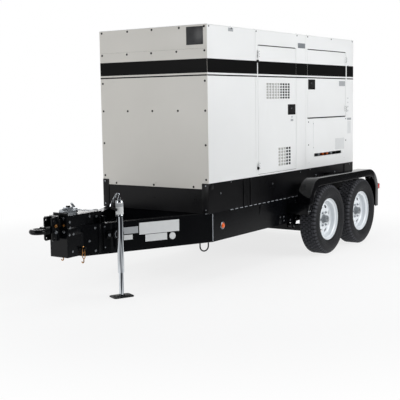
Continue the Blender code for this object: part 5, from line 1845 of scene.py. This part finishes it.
@dataclass
class Fender:
    """A tandem mudguard with its rolled skirt, brackets and tail lamp."""

    side: Side
    front: float = 1.3415
    rear: float = 2.961
    top: float = 0.775
    corner: float = 0.235
    front_z: float = 0.535
    rear_z: float = 0.357
    inner: float = 0.694
    outer: float = 0.834
    skirt: float = 0.07
    steps: int = 20

    def path(self, inset: float, longer: float = 0.0) -> list[Pair]:
        """The guard's outline from the side, moved inwards.

        Args:
            inset: How far it is moved inwards.
            longer: How far its two ends run on.

        Returns:
            The outline.
        """
        radius = self.corner - inset
        front, rear, top = self.front + inset, self.rear - inset, self.top - inset
        line = [(front, self.front_z - longer)]
        line += arc((front + radius, top - radius), radius, 180, 90, self.steps)
        line += arc((rear - radius, top - radius), radius, 90, 0, self.steps)
        line.append((rear, self.rear_z - longer))
        return line

    def build(self) -> None:
        """Makes the guard and its lamp."""
        g = self.side.value
        sheet = 0.003
        ends = [(self.rear - 0.1, self.rear_z), (self.front + 0.1, self.front_z)]
        whole = plate(self.path(0) + ends, *ordered(g * self.inner, g * self.outer))
        rims = [
            e
            for e in whole.edges
            if abs(e.verts[0].co.y - g * self.outer) < 1e-5
            and abs(e.verts[1].co.y - g * self.outer) < 1e-5
            and e.calc_face_angle(0) > 1.0
        ]
        bmesh.ops.bevel(
            whole, geom=rims, offset=0.009, offset_type="OFFSET", segments=5, profile=0.5, material=-1,
            affect="EDGES", clamp_overlap=True
        )
        hollow = plate(self.path(sheet, 0.1), *ordered(g * (self.inner - 0.02), g * (self.outer - sheet)))
        opening = plate(
            self.path(self.skirt, 0.1), *ordered(g * (self.outer - 0.02), g * (self.outer + 0.02))
        )
        guard = carved(carved(whole, [hollow]), [opening])
        shape = Shape().add(guard, GUARD)
        edge = [(x, g * (self.outer - 0.002), z) for x, z in self.path(self.skirt)]
        shape.add(bar(edge, 0.0028, round_segments=2), GUARD)
        lip = [(x, g * (self.inner + 0.003), z) for x, z in self.path(0.0030)]
        shape.add(bar(lip, 0.0028, round_segments=2), GUARD)
        side, rail = self.side, 0.5828
        front, rear, brace = self.front + 0.0005, self.rear - 0.001, (rail, self.outer - 0.03)
        step = (rail, self.inner + 0.02)
        for x, y, z, soft in (
            ((front, self.front + 0.006), brace, (0.4334, 0.555), 0.0015),
            ((front, self.front + 0.070), brace, (0.4334, 0.4394), 0.0015),
            ((front, self.front + 0.070), (self.outer - 0.036, self.outer - 0.030), (0.4334, 0.555), 0.0015),
            ((2.133, 2.193), step, (0.730, 0.736), 0.001),
            ((2.133, 2.139), step, (0.730, 0.7735), 0.001),
            ((2.187, 2.193), step, (0.730, 0.7735), 0.001),
            ((self.rear - 0.045, rear), brace, (0.4334, 0.4394), 0.0015),
            ((self.rear - 0.009, rear), brace, (0.4334, 0.5034), 0.0015),
        ):
            shape.add(outward(side, x, y, z, soft), BLACK)
        for x in (self.front + 0.02, self.front + 0.05):
            shape.add(hexagon((x, g * (self.outer - 0.030), 0.470), (0, g, 0), 0.009, 0.006), ZINC)
        name = f"fender_{self.side.word}"
        shape.make(name + "_guard", "trailer", "black_enamel", name)

        lamp = Shape()
        y = (self.outer - 0.10, self.outer - 0.01)
        x0 = self.rear + 0.0005
        lamp.add(outward(side, (x0, x0 + 0.020), y, (0.535, 0.600), 0.004, 3), PLASTIC)
        lens = (x0 + 0.016, x0 + 0.0740)
        lamp.add(outward(side, lens, (y[0] + 0.004, y[1] - 0.002), (0.539, 0.596), 0.006, 4), RED_LENS)
        for k in range(5):
            z = 0.548 + 0.010 * k
            lamp.add(
                outward(
                    side, (lens[1] - 0.002, lens[1] + 0.0004), (y[0] + 0.012, y[1] - 0.010), (z, z + 0.003),
                    0.0005, 1
                ),
                RED_LENS
            )
        lamp.add(outward(side, (x0, x0 + 0.024), (y[0], y[1] + 0.006), (0.5985, 0.6045), 0.001), ZINC)
        for z in (0.548, 0.587):
            lamp.add(hexagon((x0 + 0.010, g * y[1], z), (0, g, 0), 0.005, 0.003), ZINC)
        lamp.make(f"tail_lamp_{self.side.word}_lens", "trailer", "red_plastic", f"tail_lamp_{self.side.word}")


@dataclass
class Suspension:
    """Axles, leaf springs and equalizers."""

    track: float = 0.5475
    hanger: float = 0.305
    seat: float = 0.270
    leaf: float = 0.006

    def build(self) -> None:
        """Dresses the axles and equalizers, and makes each spring's leaves."""
        dress(FORGED, "axle_front", "axle_rear", "equalizer_left", "equalizer_right")
        for axle, toward in (("front", 1), ("rear", -1)):
            for side in Side:
                self.spring(axle, toward, side)

    def spring(self, axle: str, toward: int, side: Side) -> None:
        """A leaf pack with its eye, clips and U-bolts.

        Args:
            axle: front or rear.
            toward: Direction from the hanger to the equalizer.
            side: The side that it is on.
        """
        low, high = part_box(f"axle_{axle}")
        x = (low.x + high.x) / 2 - FRONT
        eye = x - toward * 0.31
        near, far = ordered(side.value * (self.track - 0.022), side.value * (self.track + 0.022))
        shape = Shape()
        bottom = [
            (-0.31, 0.293), (-0.16, 0.2755), (-0.06, 0.2702), (0.06, 0.2702), (0.16, 0.2745),
            (0.3345, 0.2810)
        ]
        for k in range(4):
            reach = 1.0 - 0.20 * (3 - k)
            line = [(a * reach, b) for a, b in bottom]
            lift = self.leaf * k * 0.92
            thick = self.leaf * 0.88
            lower = [(x + toward * a, b + lift * max(0.15, 1 - abs(a) / 0.5) + 0.0003) for a, b in line]
            upper = [(a, b + thick * 0.9) for a, b in reversed(lower)]
            shape.add(plate(lower + upper, near, far, Axis.ALONG_Y, 0.0008), FORGED)
        rolled = [(0.0086, near), (0.0148, near), (0.0148, far), (0.0086, far)]
        shape.add(turned(rolled, (eye, 0, self.hanger), (0, 1, 0), 28, closed=True), FORGED)
        for d in (-0.035, 0.035):
            clamp = block(
                (x + d - 0.006, near - 0.003, self.seat + 0.001),
                (x + d + 0.006, far + 0.003, self.seat + 0.033), 0.002
            )
            shape.add(clamp, FORGED)
            for y in (near + 0.004, far - 0.004):
                shape.add(hexagon((x + d, y, self.seat + 0.0325), (0, 0, 1), 0.006, 0.002), ZINC)
        name = f"leaf_spring_{axle}_{side.word}"
        shape.make(name + "_pack", "trailer", "black_steel", name)


@dataclass
class Machinery:
    """Engine, alternator, cooling and electrical gear inside the enclosure."""

    floor: float = 0.843
    crank: float = 1.170

    def build(self) -> None:
        """Dresses the CAD envelopes and adds the parts that show through open doors."""
        dress(DARK_IRON, "engine")
        dress(GREY, "alternator")
        dress(HEAT, "muffler")
        dress(CORE, "radiator")
        dress(PLASTIC, "battery")
        dress(FORGED, "fuel_tank")
        self.engine_trim()
        self.alternator_trim()
        self.fan()
        self.panel()
        self.stop_button()

    def engine_trim(self) -> None:
        """Rocker cover, injector lines, filters, belts, hoses and dipstick."""
        shape, z = Shape(), self.crank
        for k in range(6):
            x = 0.70 + 0.112 * k
            shape.add(block((x, -0.10, z + 0.4105), (x + 0.088, 0.10, z + 0.446), 0.010, 3), ALUMINIUM)
            shape.add(hexagon((x + 0.044, 0.0, z + 0.446), (0, 0, 1), 0.011, 0.007), ZINC)
            line = [
                (x + 0.04, -0.118, z + 0.34), (x + 0.04, -0.15, z + 0.35), (x + 0.03, -0.20, z + 0.31),
                (0.90 + 0.02 * k, -0.245, z + 0.24)
            ]
            shape.add(bar(line, 0.0035), ZINC)
        shape.add(block((0.86, -0.295, z + 0.05), (1.10, -0.231, z + 0.17), 0.012, 3), ALUMINIUM)
        for x, finish in ((1.18, GREY), (1.28, WHITE)):
            shape.add(rod((x, -0.285, z - 0.10), (x, -0.285, z + 0.09), 0.042, 32, 0.006), finish)
            shape.add(rod((x, -0.285, z + 0.091), (x, -0.285, z + 0.112), 0.047, 32, 0.004), DARK_IRON)
        shape.add(
            bar(
                [
                    (1.33, -0.231, z - 0.12), (1.34, -0.26, z - 0.02), (1.34, -0.265, z + 0.16),
                    (1.335, -0.262, z + 0.20)
                ],
                0.005
            ),
            ZINC
        )
        shape.add(rod((1.335, -0.262, z + 0.19), (1.335, -0.262, z + 0.225), 0.010, 16, 0.003), STOP_RED)
        for g in (-1, 1):
            hose = [
                (0.381, g * 0.33, z + 0.36), (0.45, g * 0.335, z + 0.37), (0.55, g * 0.30, z + 0.33),
                (0.60, g * 0.22, z + 0.22), (0.622, g * 0.18, z + 0.18)
            ]
            shape.add(bar(hose, 0.028, round_segments=4), RUBBER)
        belt = [
            (0.568, 0.08 * math.cos(a), z - 0.02 + 0.08 * math.sin(a))
            for a in (math.radians(k * 15) for k in range(12, 25))
        ]
        belt += [
            (0.568, 0.061 * math.cos(a), z + 0.10 + 0.061 * math.sin(a))
            for a in (math.radians(k * 15) for k in range(0, 13))
        ]
        shape.add(bar(belt, 0.007, closed=True), RUBBER)
        shape.add(rod((0.55, 0, z - 0.02), (0.619, 0, z - 0.02), 0.074, 32, 0.004), FORGED)
        for k in range(5):
            groove = [(0.101, -0.004), (0.1035, 0.0), (0.101, 0.004), (0.098, 0.0)]
            at = (0.80 + 0.065 * k, -0.33, z + 0.30)
            shape.add(turned(groove, at, (1, 0, 0), 40, closed=True), PLASTIC)
        duct = [
            (1.115, -0.33, z + 0.30), (1.17, -0.32, z + 0.31), (1.20, -0.24, z + 0.36),
            (1.12, -0.10, z + 0.475), (1.08, 0.02, z + 0.475), (1.055, 0.10, z + 0.455)
        ]
        shape.add(bar(duct, 0.036, round_segments=4), RUBBER)
        for x in (0.66, 0.85, 1.04, 1.23, 1.40):
            for g in (-1, 1):
                shape.add(hexagon((x, g * 0.23, z + 0.02), (0, g, 0), 0.013, 0.008), FORGED)
        shape.make("engine_trim", "trailer", "cast_iron")

    def alternator_trim(self) -> None:
        """Cooling grille, end bell ribs, nameplate blank and lifting eye."""
        shape, z = Shape(), self.crank
        for k in range(9):
            x = 1.60 + 0.07 * k
            rib = [(0.269, -0.005), (0.275, -0.003), (0.275, 0.003), (0.269, 0.005)]
            shape.add(turned(rib, (x, 0, z), (1, 0, 0), 56, closed=True), GREY)
        bell = [
            (0.0, 0.034), (0.12, 0.034), (0.19, 0.026), (0.245, 0.008), (0.262, 0.0), (0.262, -0.004),
            (0.0, -0.004)
        ]
        shape.add(turned(bell, (2.2505, 0, z), (1, 0, 0), 56), GREY)
        for k in range(12):
            a = math.tau * k / 12
            low = Vector((2.252, 0.15 * math.cos(a), z + 0.15 * math.sin(a)))
            high = Vector((2.252, 0.235 * math.cos(a), z + 0.235 * math.sin(a)))
            shape.add(bar([low + Vector((0.030, 0, 0)), high + Vector((0.012, 0, 0))], 0.009), FORGED)
        eye = [
            (1.89 + 0.028 * math.cos(a), 0.0, z + 0.385 + 0.028 * math.sin(a))
            for a in (math.tau * k / 24 for k in range(24))
        ]
        shape.add(bar(eye, 0.008, closed=True, round_segments=3), ZINC)
        shape.add(block((1.80, -0.1612, z + 0.24), (1.92, -0.160, z + 0.32), 0.0004), PLATE)
        shape.make("alternator_trim", "trailer", "grey_enamel")

    def fan(self) -> None:
        """The cooling fan with cambered blades."""
        low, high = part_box("cooling_fan")
        x, z = low.x - FRONT + 0.030, self.crank + 0.10
        shape = Shape()
        hub = [
            (0.0126, -0.009), (0.0126, 0.035), (0.050, 0.035), (0.0595, 0.028), (0.0595, -0.015),
            (0.050, -0.019), (0.0, -0.0195), (0.0, -0.0095)
        ]
        shape.add(turned(hub, (x, 0, z), (1, 0, 0), 40, closed=True), PLASTIC)
        for k in range(7):
            blade = block((-0.0025, -0.045, 0.05), (0.0025, 0.045, 0.292))
            bmesh.ops.subdivide_edges(blade, edges=list(blade.edges), cuts=4, use_grid_fill=True)
            for vert in blade.verts:
                height = (vert.co.z - 0.05) / 0.242
                vert.co.x += 0.010 * (1 - (vert.co.y / 0.045) ** 2)
                vert.co = Matrix.Rotation(math.radians(38 - 14 * height), 3, "Z") @ vert.co
                vert.co.x *= 0.62
            bmesh.ops.rotate(
                blade, cent=(0, 0, 0), matrix=Matrix.Rotation(math.tau * k / 7, 3, "X"), verts=blade.verts
            )
            bmesh.ops.translate(blade, vec=(x, 0, z), verts=blade.verts)
            shape.add(blade, PLASTIC)
        shape.make("cooling_fan_blades", "cooling_fan", "black_plastic", "cooling_fan")

    def panel(self) -> None:
        """The face of the control cabinet: gauges, screen, breaker, knobs and lamps."""
        dress(GREY, "control_panel")
        low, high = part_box("control_door")
        x0, x1, z0 = low.x - FRONT, high.x - FRONT, low.z
        face = 0.5525
        shape = Shape()
        y = -face
        shape.add(
            block((x0 + 0.02, y - 0.0025, z0 + 0.30), (x1 - 0.03, y + 0.001, z0 + 0.65), 0.001), PLASTIC
        )
        shape.add(block((x0 + 0.34, y - 0.006, z0 + 0.44), (x0 + 0.54, y - 0.002, z0 + 0.58), 0.002), GREY)
        shape.add(
            block((x0 + 0.36, y - 0.0068, z0 + 0.47), (x0 + 0.52, y - 0.0055, z0 + 0.565), 0.0004), GLASS
        )
        for row, z in enumerate((z0 + 0.56, z0 + 0.45)):
            for k in range(3):
                for start in (x0 + 0.075, x0 + 0.605):
                    at = (start + 0.095 * k, y - 0.0025, z)
                    bezel = [(0.031, 0.0), (0.036, 0.0), (0.036, 0.003), (0.034, 0.005), (0.031, 0.0045)]
                    shape.add(turned(bezel, at, (0, -1, 0), 36, closed=True), ZINC)
                    shape.add(
                        turned([(0.0, 0.0025), (0.031, 0.002), (0.031, 0.0), (0.0, 0.0)], at, (0, -1, 0), 36),
                        GLASS
                    )
        for k in range(8):
            at = (x0 + 0.12 + 0.09 * k, y - 0.0025, z0 + 0.36)
            shape.add(
                turned(
                    [(0.0, 0.006), (0.006, 0.005), (0.009, 0.002), (0.011, 0.0), (0.0, 0.0)], at,
                    (0, -1, 0), 20
                ),
                AMBER if k % 3 else RED_LENS
            )
        for k in range(4):
            x = x0 + 0.07 + 0.055 * k
            shape.add(block((x, y - 0.004, z0 + 0.09), (x + 0.042, y + 0.001, z0 + 0.21), 0.002), PLASTIC)
            shape.add(
                block((x + 0.014, y - 0.0065, z0 + 0.14), (x + 0.028, y - 0.003, z0 + 0.165), 0.002), GREY
            )
        middle = (1.769 + 2.655) / 2
        shape.add(
            block((middle - 0.022, y - 0.0085, 1.50), (middle + 0.022, y - 0.0055, 1.545), 0.001), STOP_RED
        )
        shape.make("control_face", "trailer", "black_plastic")

    def stop_button(self) -> None:
        """The mushroom-headed emergency stop."""
        low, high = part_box("emergency_stop")
        x, z = (low.x + high.x) / 2 - FRONT, (low.z + high.z) / 2
        outer = low.y
        head = [
            (0.0, 0.0), (0.010, 0.0004), (0.0155, 0.0018), (0.0178, 0.0040), (0.0172, 0.0050),
            (0.0098, 0.0052), (0.0098, 0.0285), (0.0, 0.0285)
        ]
        shape = Shape().add(turned(head, (x, outer, z), (0, 1, 0), 36), STOP_RED)
        shape.make("emergency_stop_head", "emergency_stop", "red_plastic", "emergency_stop")


# ---- studio ---------------------------------------------------------------
@dataclass
class Studio:
    """White studio: floor, lights, world and camera."""

    focal: float = 865.52
    width: float = 400.0
    place: tuple[float, float, float] = (-5.9792, -4.6431, 1.5375)
    yaw: float = 34.78
    pitch: float = 6.54
    roll: float = 0.86
    floor_white: float = 0.78
    dim_side: tuple[float, float, float] = (-0.25, -0.97, 0.0)
    dim: float = 0.06

    def build(self) -> None:
        """Makes the floor, lights, world and camera."""
        self.floor()
        self.world()
        self.lights()
        self.camera()
        scene = bpy.context.scene
        scene.view_settings.view_transform = "Standard"

    def seen(self, tree: bpy.types.NodeTree) -> bpy.types.NodeSocket:
        """1 where a camera, mirror or glass ray looks.

        Args:
            tree: The world's node tree.

        Returns:
            The value.
        """
        path = add_node(tree, "ShaderNodeLightPath")
        first = add_node(
            tree,
            "ShaderNodeMath",
            {0: path.outputs["Is Camera Ray"], 1: path.outputs["Is Glossy Ray"]},
            operation="MAXIMUM",
        )
        return add_node(
            tree,
            "ShaderNodeMath",
            {0: first.outputs[0], 1: path.outputs["Is Transmission Ray"]},
            operation="MAXIMUM",
        ).outputs[0]

    def floor(self) -> None:
        """A pale floor that keeps the object's shadow."""
        bm = bmesh.new()
        bmesh.ops.create_grid(bm, x_segments=1, y_segments=1, size=60.0)
        mesh = bpy.data.meshes.new("studio_floor")
        bm.to_mesh(mesh)
        bm.free()
        floor = bpy.data.objects.new("studio_floor", mesh)
        bpy.context.scene.collection.objects.link(floor)
        made = bpy.data.materials.new("matt white floor paint")
        made.use_nodes = True
        tree = made.node_tree
        tree.nodes.clear()
        matt = add_node(tree, "ShaderNodeBsdfDiffuse", {"Color": (0.82, 0.82, 0.82, 1.0)})
        place = add_node(tree, "ShaderNodeTexCoord").outputs["Object"]
        away = add_node(tree, "ShaderNodeVectorMath", {0: place}, operation="LENGTH").outputs["Value"]
        # Near the wheels the floor keeps its shadow, and further off it is evenly white.
        white = add_node(
            tree,
            "ShaderNodeMapRange",
            {"Value": away, "From Min": 2.6, "From Max": 4.4, "To Min": self.floor_white, "To Max": 1.0},
            interpolation_type="SMOOTHSTEP",
        )
        share = add_node(
            tree, "ShaderNodeMath", {0: self.seen(tree), 1: white.outputs["Result"]}, operation="MULTIPLY"
        )
        # Gloss mirrors the dim half of the room in the floor too.
        toward = add_node(
            tree, "ShaderNodeVectorMath", {0: place, 1: self.dim_side}, operation="DOT_PRODUCT"
        ).outputs["Value"]
        level = add_node(
            tree,
            "ShaderNodeMapRange",
            {"Value": toward, "From Min": 0.4, "From Max": 2.2, "To Min": 1.0, "To Max": self.dim},
            interpolation_type="SMOOTHSTEP",
        )
        glossy = add_node(tree, "ShaderNodeLightPath").outputs["Is Glossy Ray"]
        strength = add_node(
            tree, "ShaderNodeMix", {
                "Factor": glossy, "A": 1.0, "B": level.outputs["Result"]
            }, data_type="FLOAT"
        )
        glow = add_node(
            tree, "ShaderNodeEmission", {
                "Color": (1.0, 1.0, 1.0, 1.0), "Strength": strength.outputs["Result"]
            }
        )
        mixed = add_node(
            tree, "ShaderNodeMixShader", {"Fac": share.outputs[0], 1: matt.outputs[0], 2: glow.outputs[0]}
        )
        end = tree.nodes.new("ShaderNodeOutputMaterial")
        tree.links.new(mixed.outputs[0], end.inputs["Surface"])
        mesh.materials.append(made)

    def world(self) -> None:
        """A soft surround that the camera sees as white."""
        world = bpy.data.worlds.new("studio surround")
        bpy.context.scene.world = world
        world.use_nodes = True
        tree = world.node_tree
        tree.nodes.clear()
        soft = add_node(tree, "ShaderNodeBackground", {"Color": (0.95, 0.97, 1.0, 1.0), "Strength": 0.42})
        white = add_node(tree, "ShaderNodeBackground", {"Color": (1.0, 1.0, 1.0, 1.0), "Strength": 1.0})
        # Gloss mirrors lamps and white paper on one side and a dim room on the other.
        aim = add_node(tree, "ShaderNodeTexCoord").outputs["Generated"]
        toward = add_node(
            tree, "ShaderNodeVectorMath", {0: aim, 1: self.dim_side}, operation="DOT_PRODUCT"
        ).outputs["Value"]
        level = add_node(
            tree,
            "ShaderNodeMapRange",
            {"Value": toward, "From Min": -0.9, "From Max": 0.25, "To Min": 1.0, "To Max": self.dim},
            interpolation_type="SMOOTHSTEP",
        )
        room = add_node(
            tree, "ShaderNodeBackground", {"Color": (1.0, 1.0, 1.0, 1.0), "Strength": level.outputs["Result"]}
        )
        path = add_node(tree, "ShaderNodeLightPath")
        glossy = add_node(
            tree, "ShaderNodeMixShader", {
                "Fac": path.outputs["Is Glossy Ray"], 1: soft.outputs[0], 2: room.outputs[0]
            }
        )
        through = add_node(
            tree,
            "ShaderNodeMath",
            {0: path.outputs["Is Camera Ray"], 1: path.outputs["Is Transmission Ray"]},
            operation="MAXIMUM",
        )
        mixed = add_node(
            tree, "ShaderNodeMixShader", {
                "Fac": through.outputs[0], 1: glossy.outputs[0], 2: white.outputs[0]
            }
        )
        end = tree.nodes.new("ShaderNodeOutputWorld")
        tree.links.new(mixed.outputs[0], end.inputs["Surface"])

    def lights(self) -> None:
        """A broad key on the left side, a weak top light, and fills in front and behind."""
        for name, place, size, power in (
            ("key", (2.2, -7.5, 3.6), (5.0, 4.0), 345.0),
            ("top", (0.3, 0.0, 6.5), (5.0, 3.0), 105.0),
            ("front_fill", (-7.0, 1.8, 2.8), (3.0, 3.0), 100.0),
            ("back_fill", (4.5, 6.0, 4.0), (4.0, 3.0), 180.0),
        ):
            data = bpy.data.lights.new(name, "AREA")
            data.shape, data.size, data.size_y, data.energy = "RECTANGLE", size[0], size[1], power
            lamp = bpy.data.objects.new(name, data)
            lamp.location = place
            aim = Vector((0.2, 0.0, 1.0)) - Vector(place)
            lamp.rotation_euler = aim.to_track_quat("-Z", "Y").to_euler()
            bpy.context.scene.collection.objects.link(lamp)

    def camera(self) -> None:
        """A long-lens view from the front left, a little above the hitch."""
        data = bpy.data.cameras.new("view")
        data.sensor_width = 36.0
        data.lens = self.focal / self.width * data.sensor_width
        data.clip_end = 200.0
        yaw, pitch, roll = (math.radians(a) for a in (self.yaw, self.pitch, self.roll))
        ahead = Vector((math.cos(yaw) * math.cos(pitch), math.sin(yaw) * math.cos(pitch), -math.sin(pitch)))
        right = Vector((math.sin(yaw), -math.cos(yaw), 0.0))
        down = ahead.cross(right)
        across = right * math.cos(roll) + down * math.sin(roll)
        below = -right * math.sin(roll) + down * math.cos(roll)
        view = Matrix((across, -below, -ahead)).transposed().to_4x4()
        camera = bpy.data.objects.new("view", data)
        camera.matrix_world = Matrix.Translation(Vector(self.place) + Vector((FRONT, 0, 0))) @ view
        bpy.context.scene.collection.objects.link(camera)
        bpy.context.scene.camera = camera


def main() -> None:
    """Builds the generator's look in order, then the studio round it."""
    logging.basicConfig(level=logging.INFO, format="%(name)s: %(message)s")
    Enclosure().build()
    Chassis().build()
    Jack().build()
    Suspension().build()
    for side in Side:
        for axle in ("front", "rear"):
            Wheel(side, axle).build()
        Fender(side).build()
    Machinery().build()
    Studio().build()


if __name__ == "__main__":
    main()
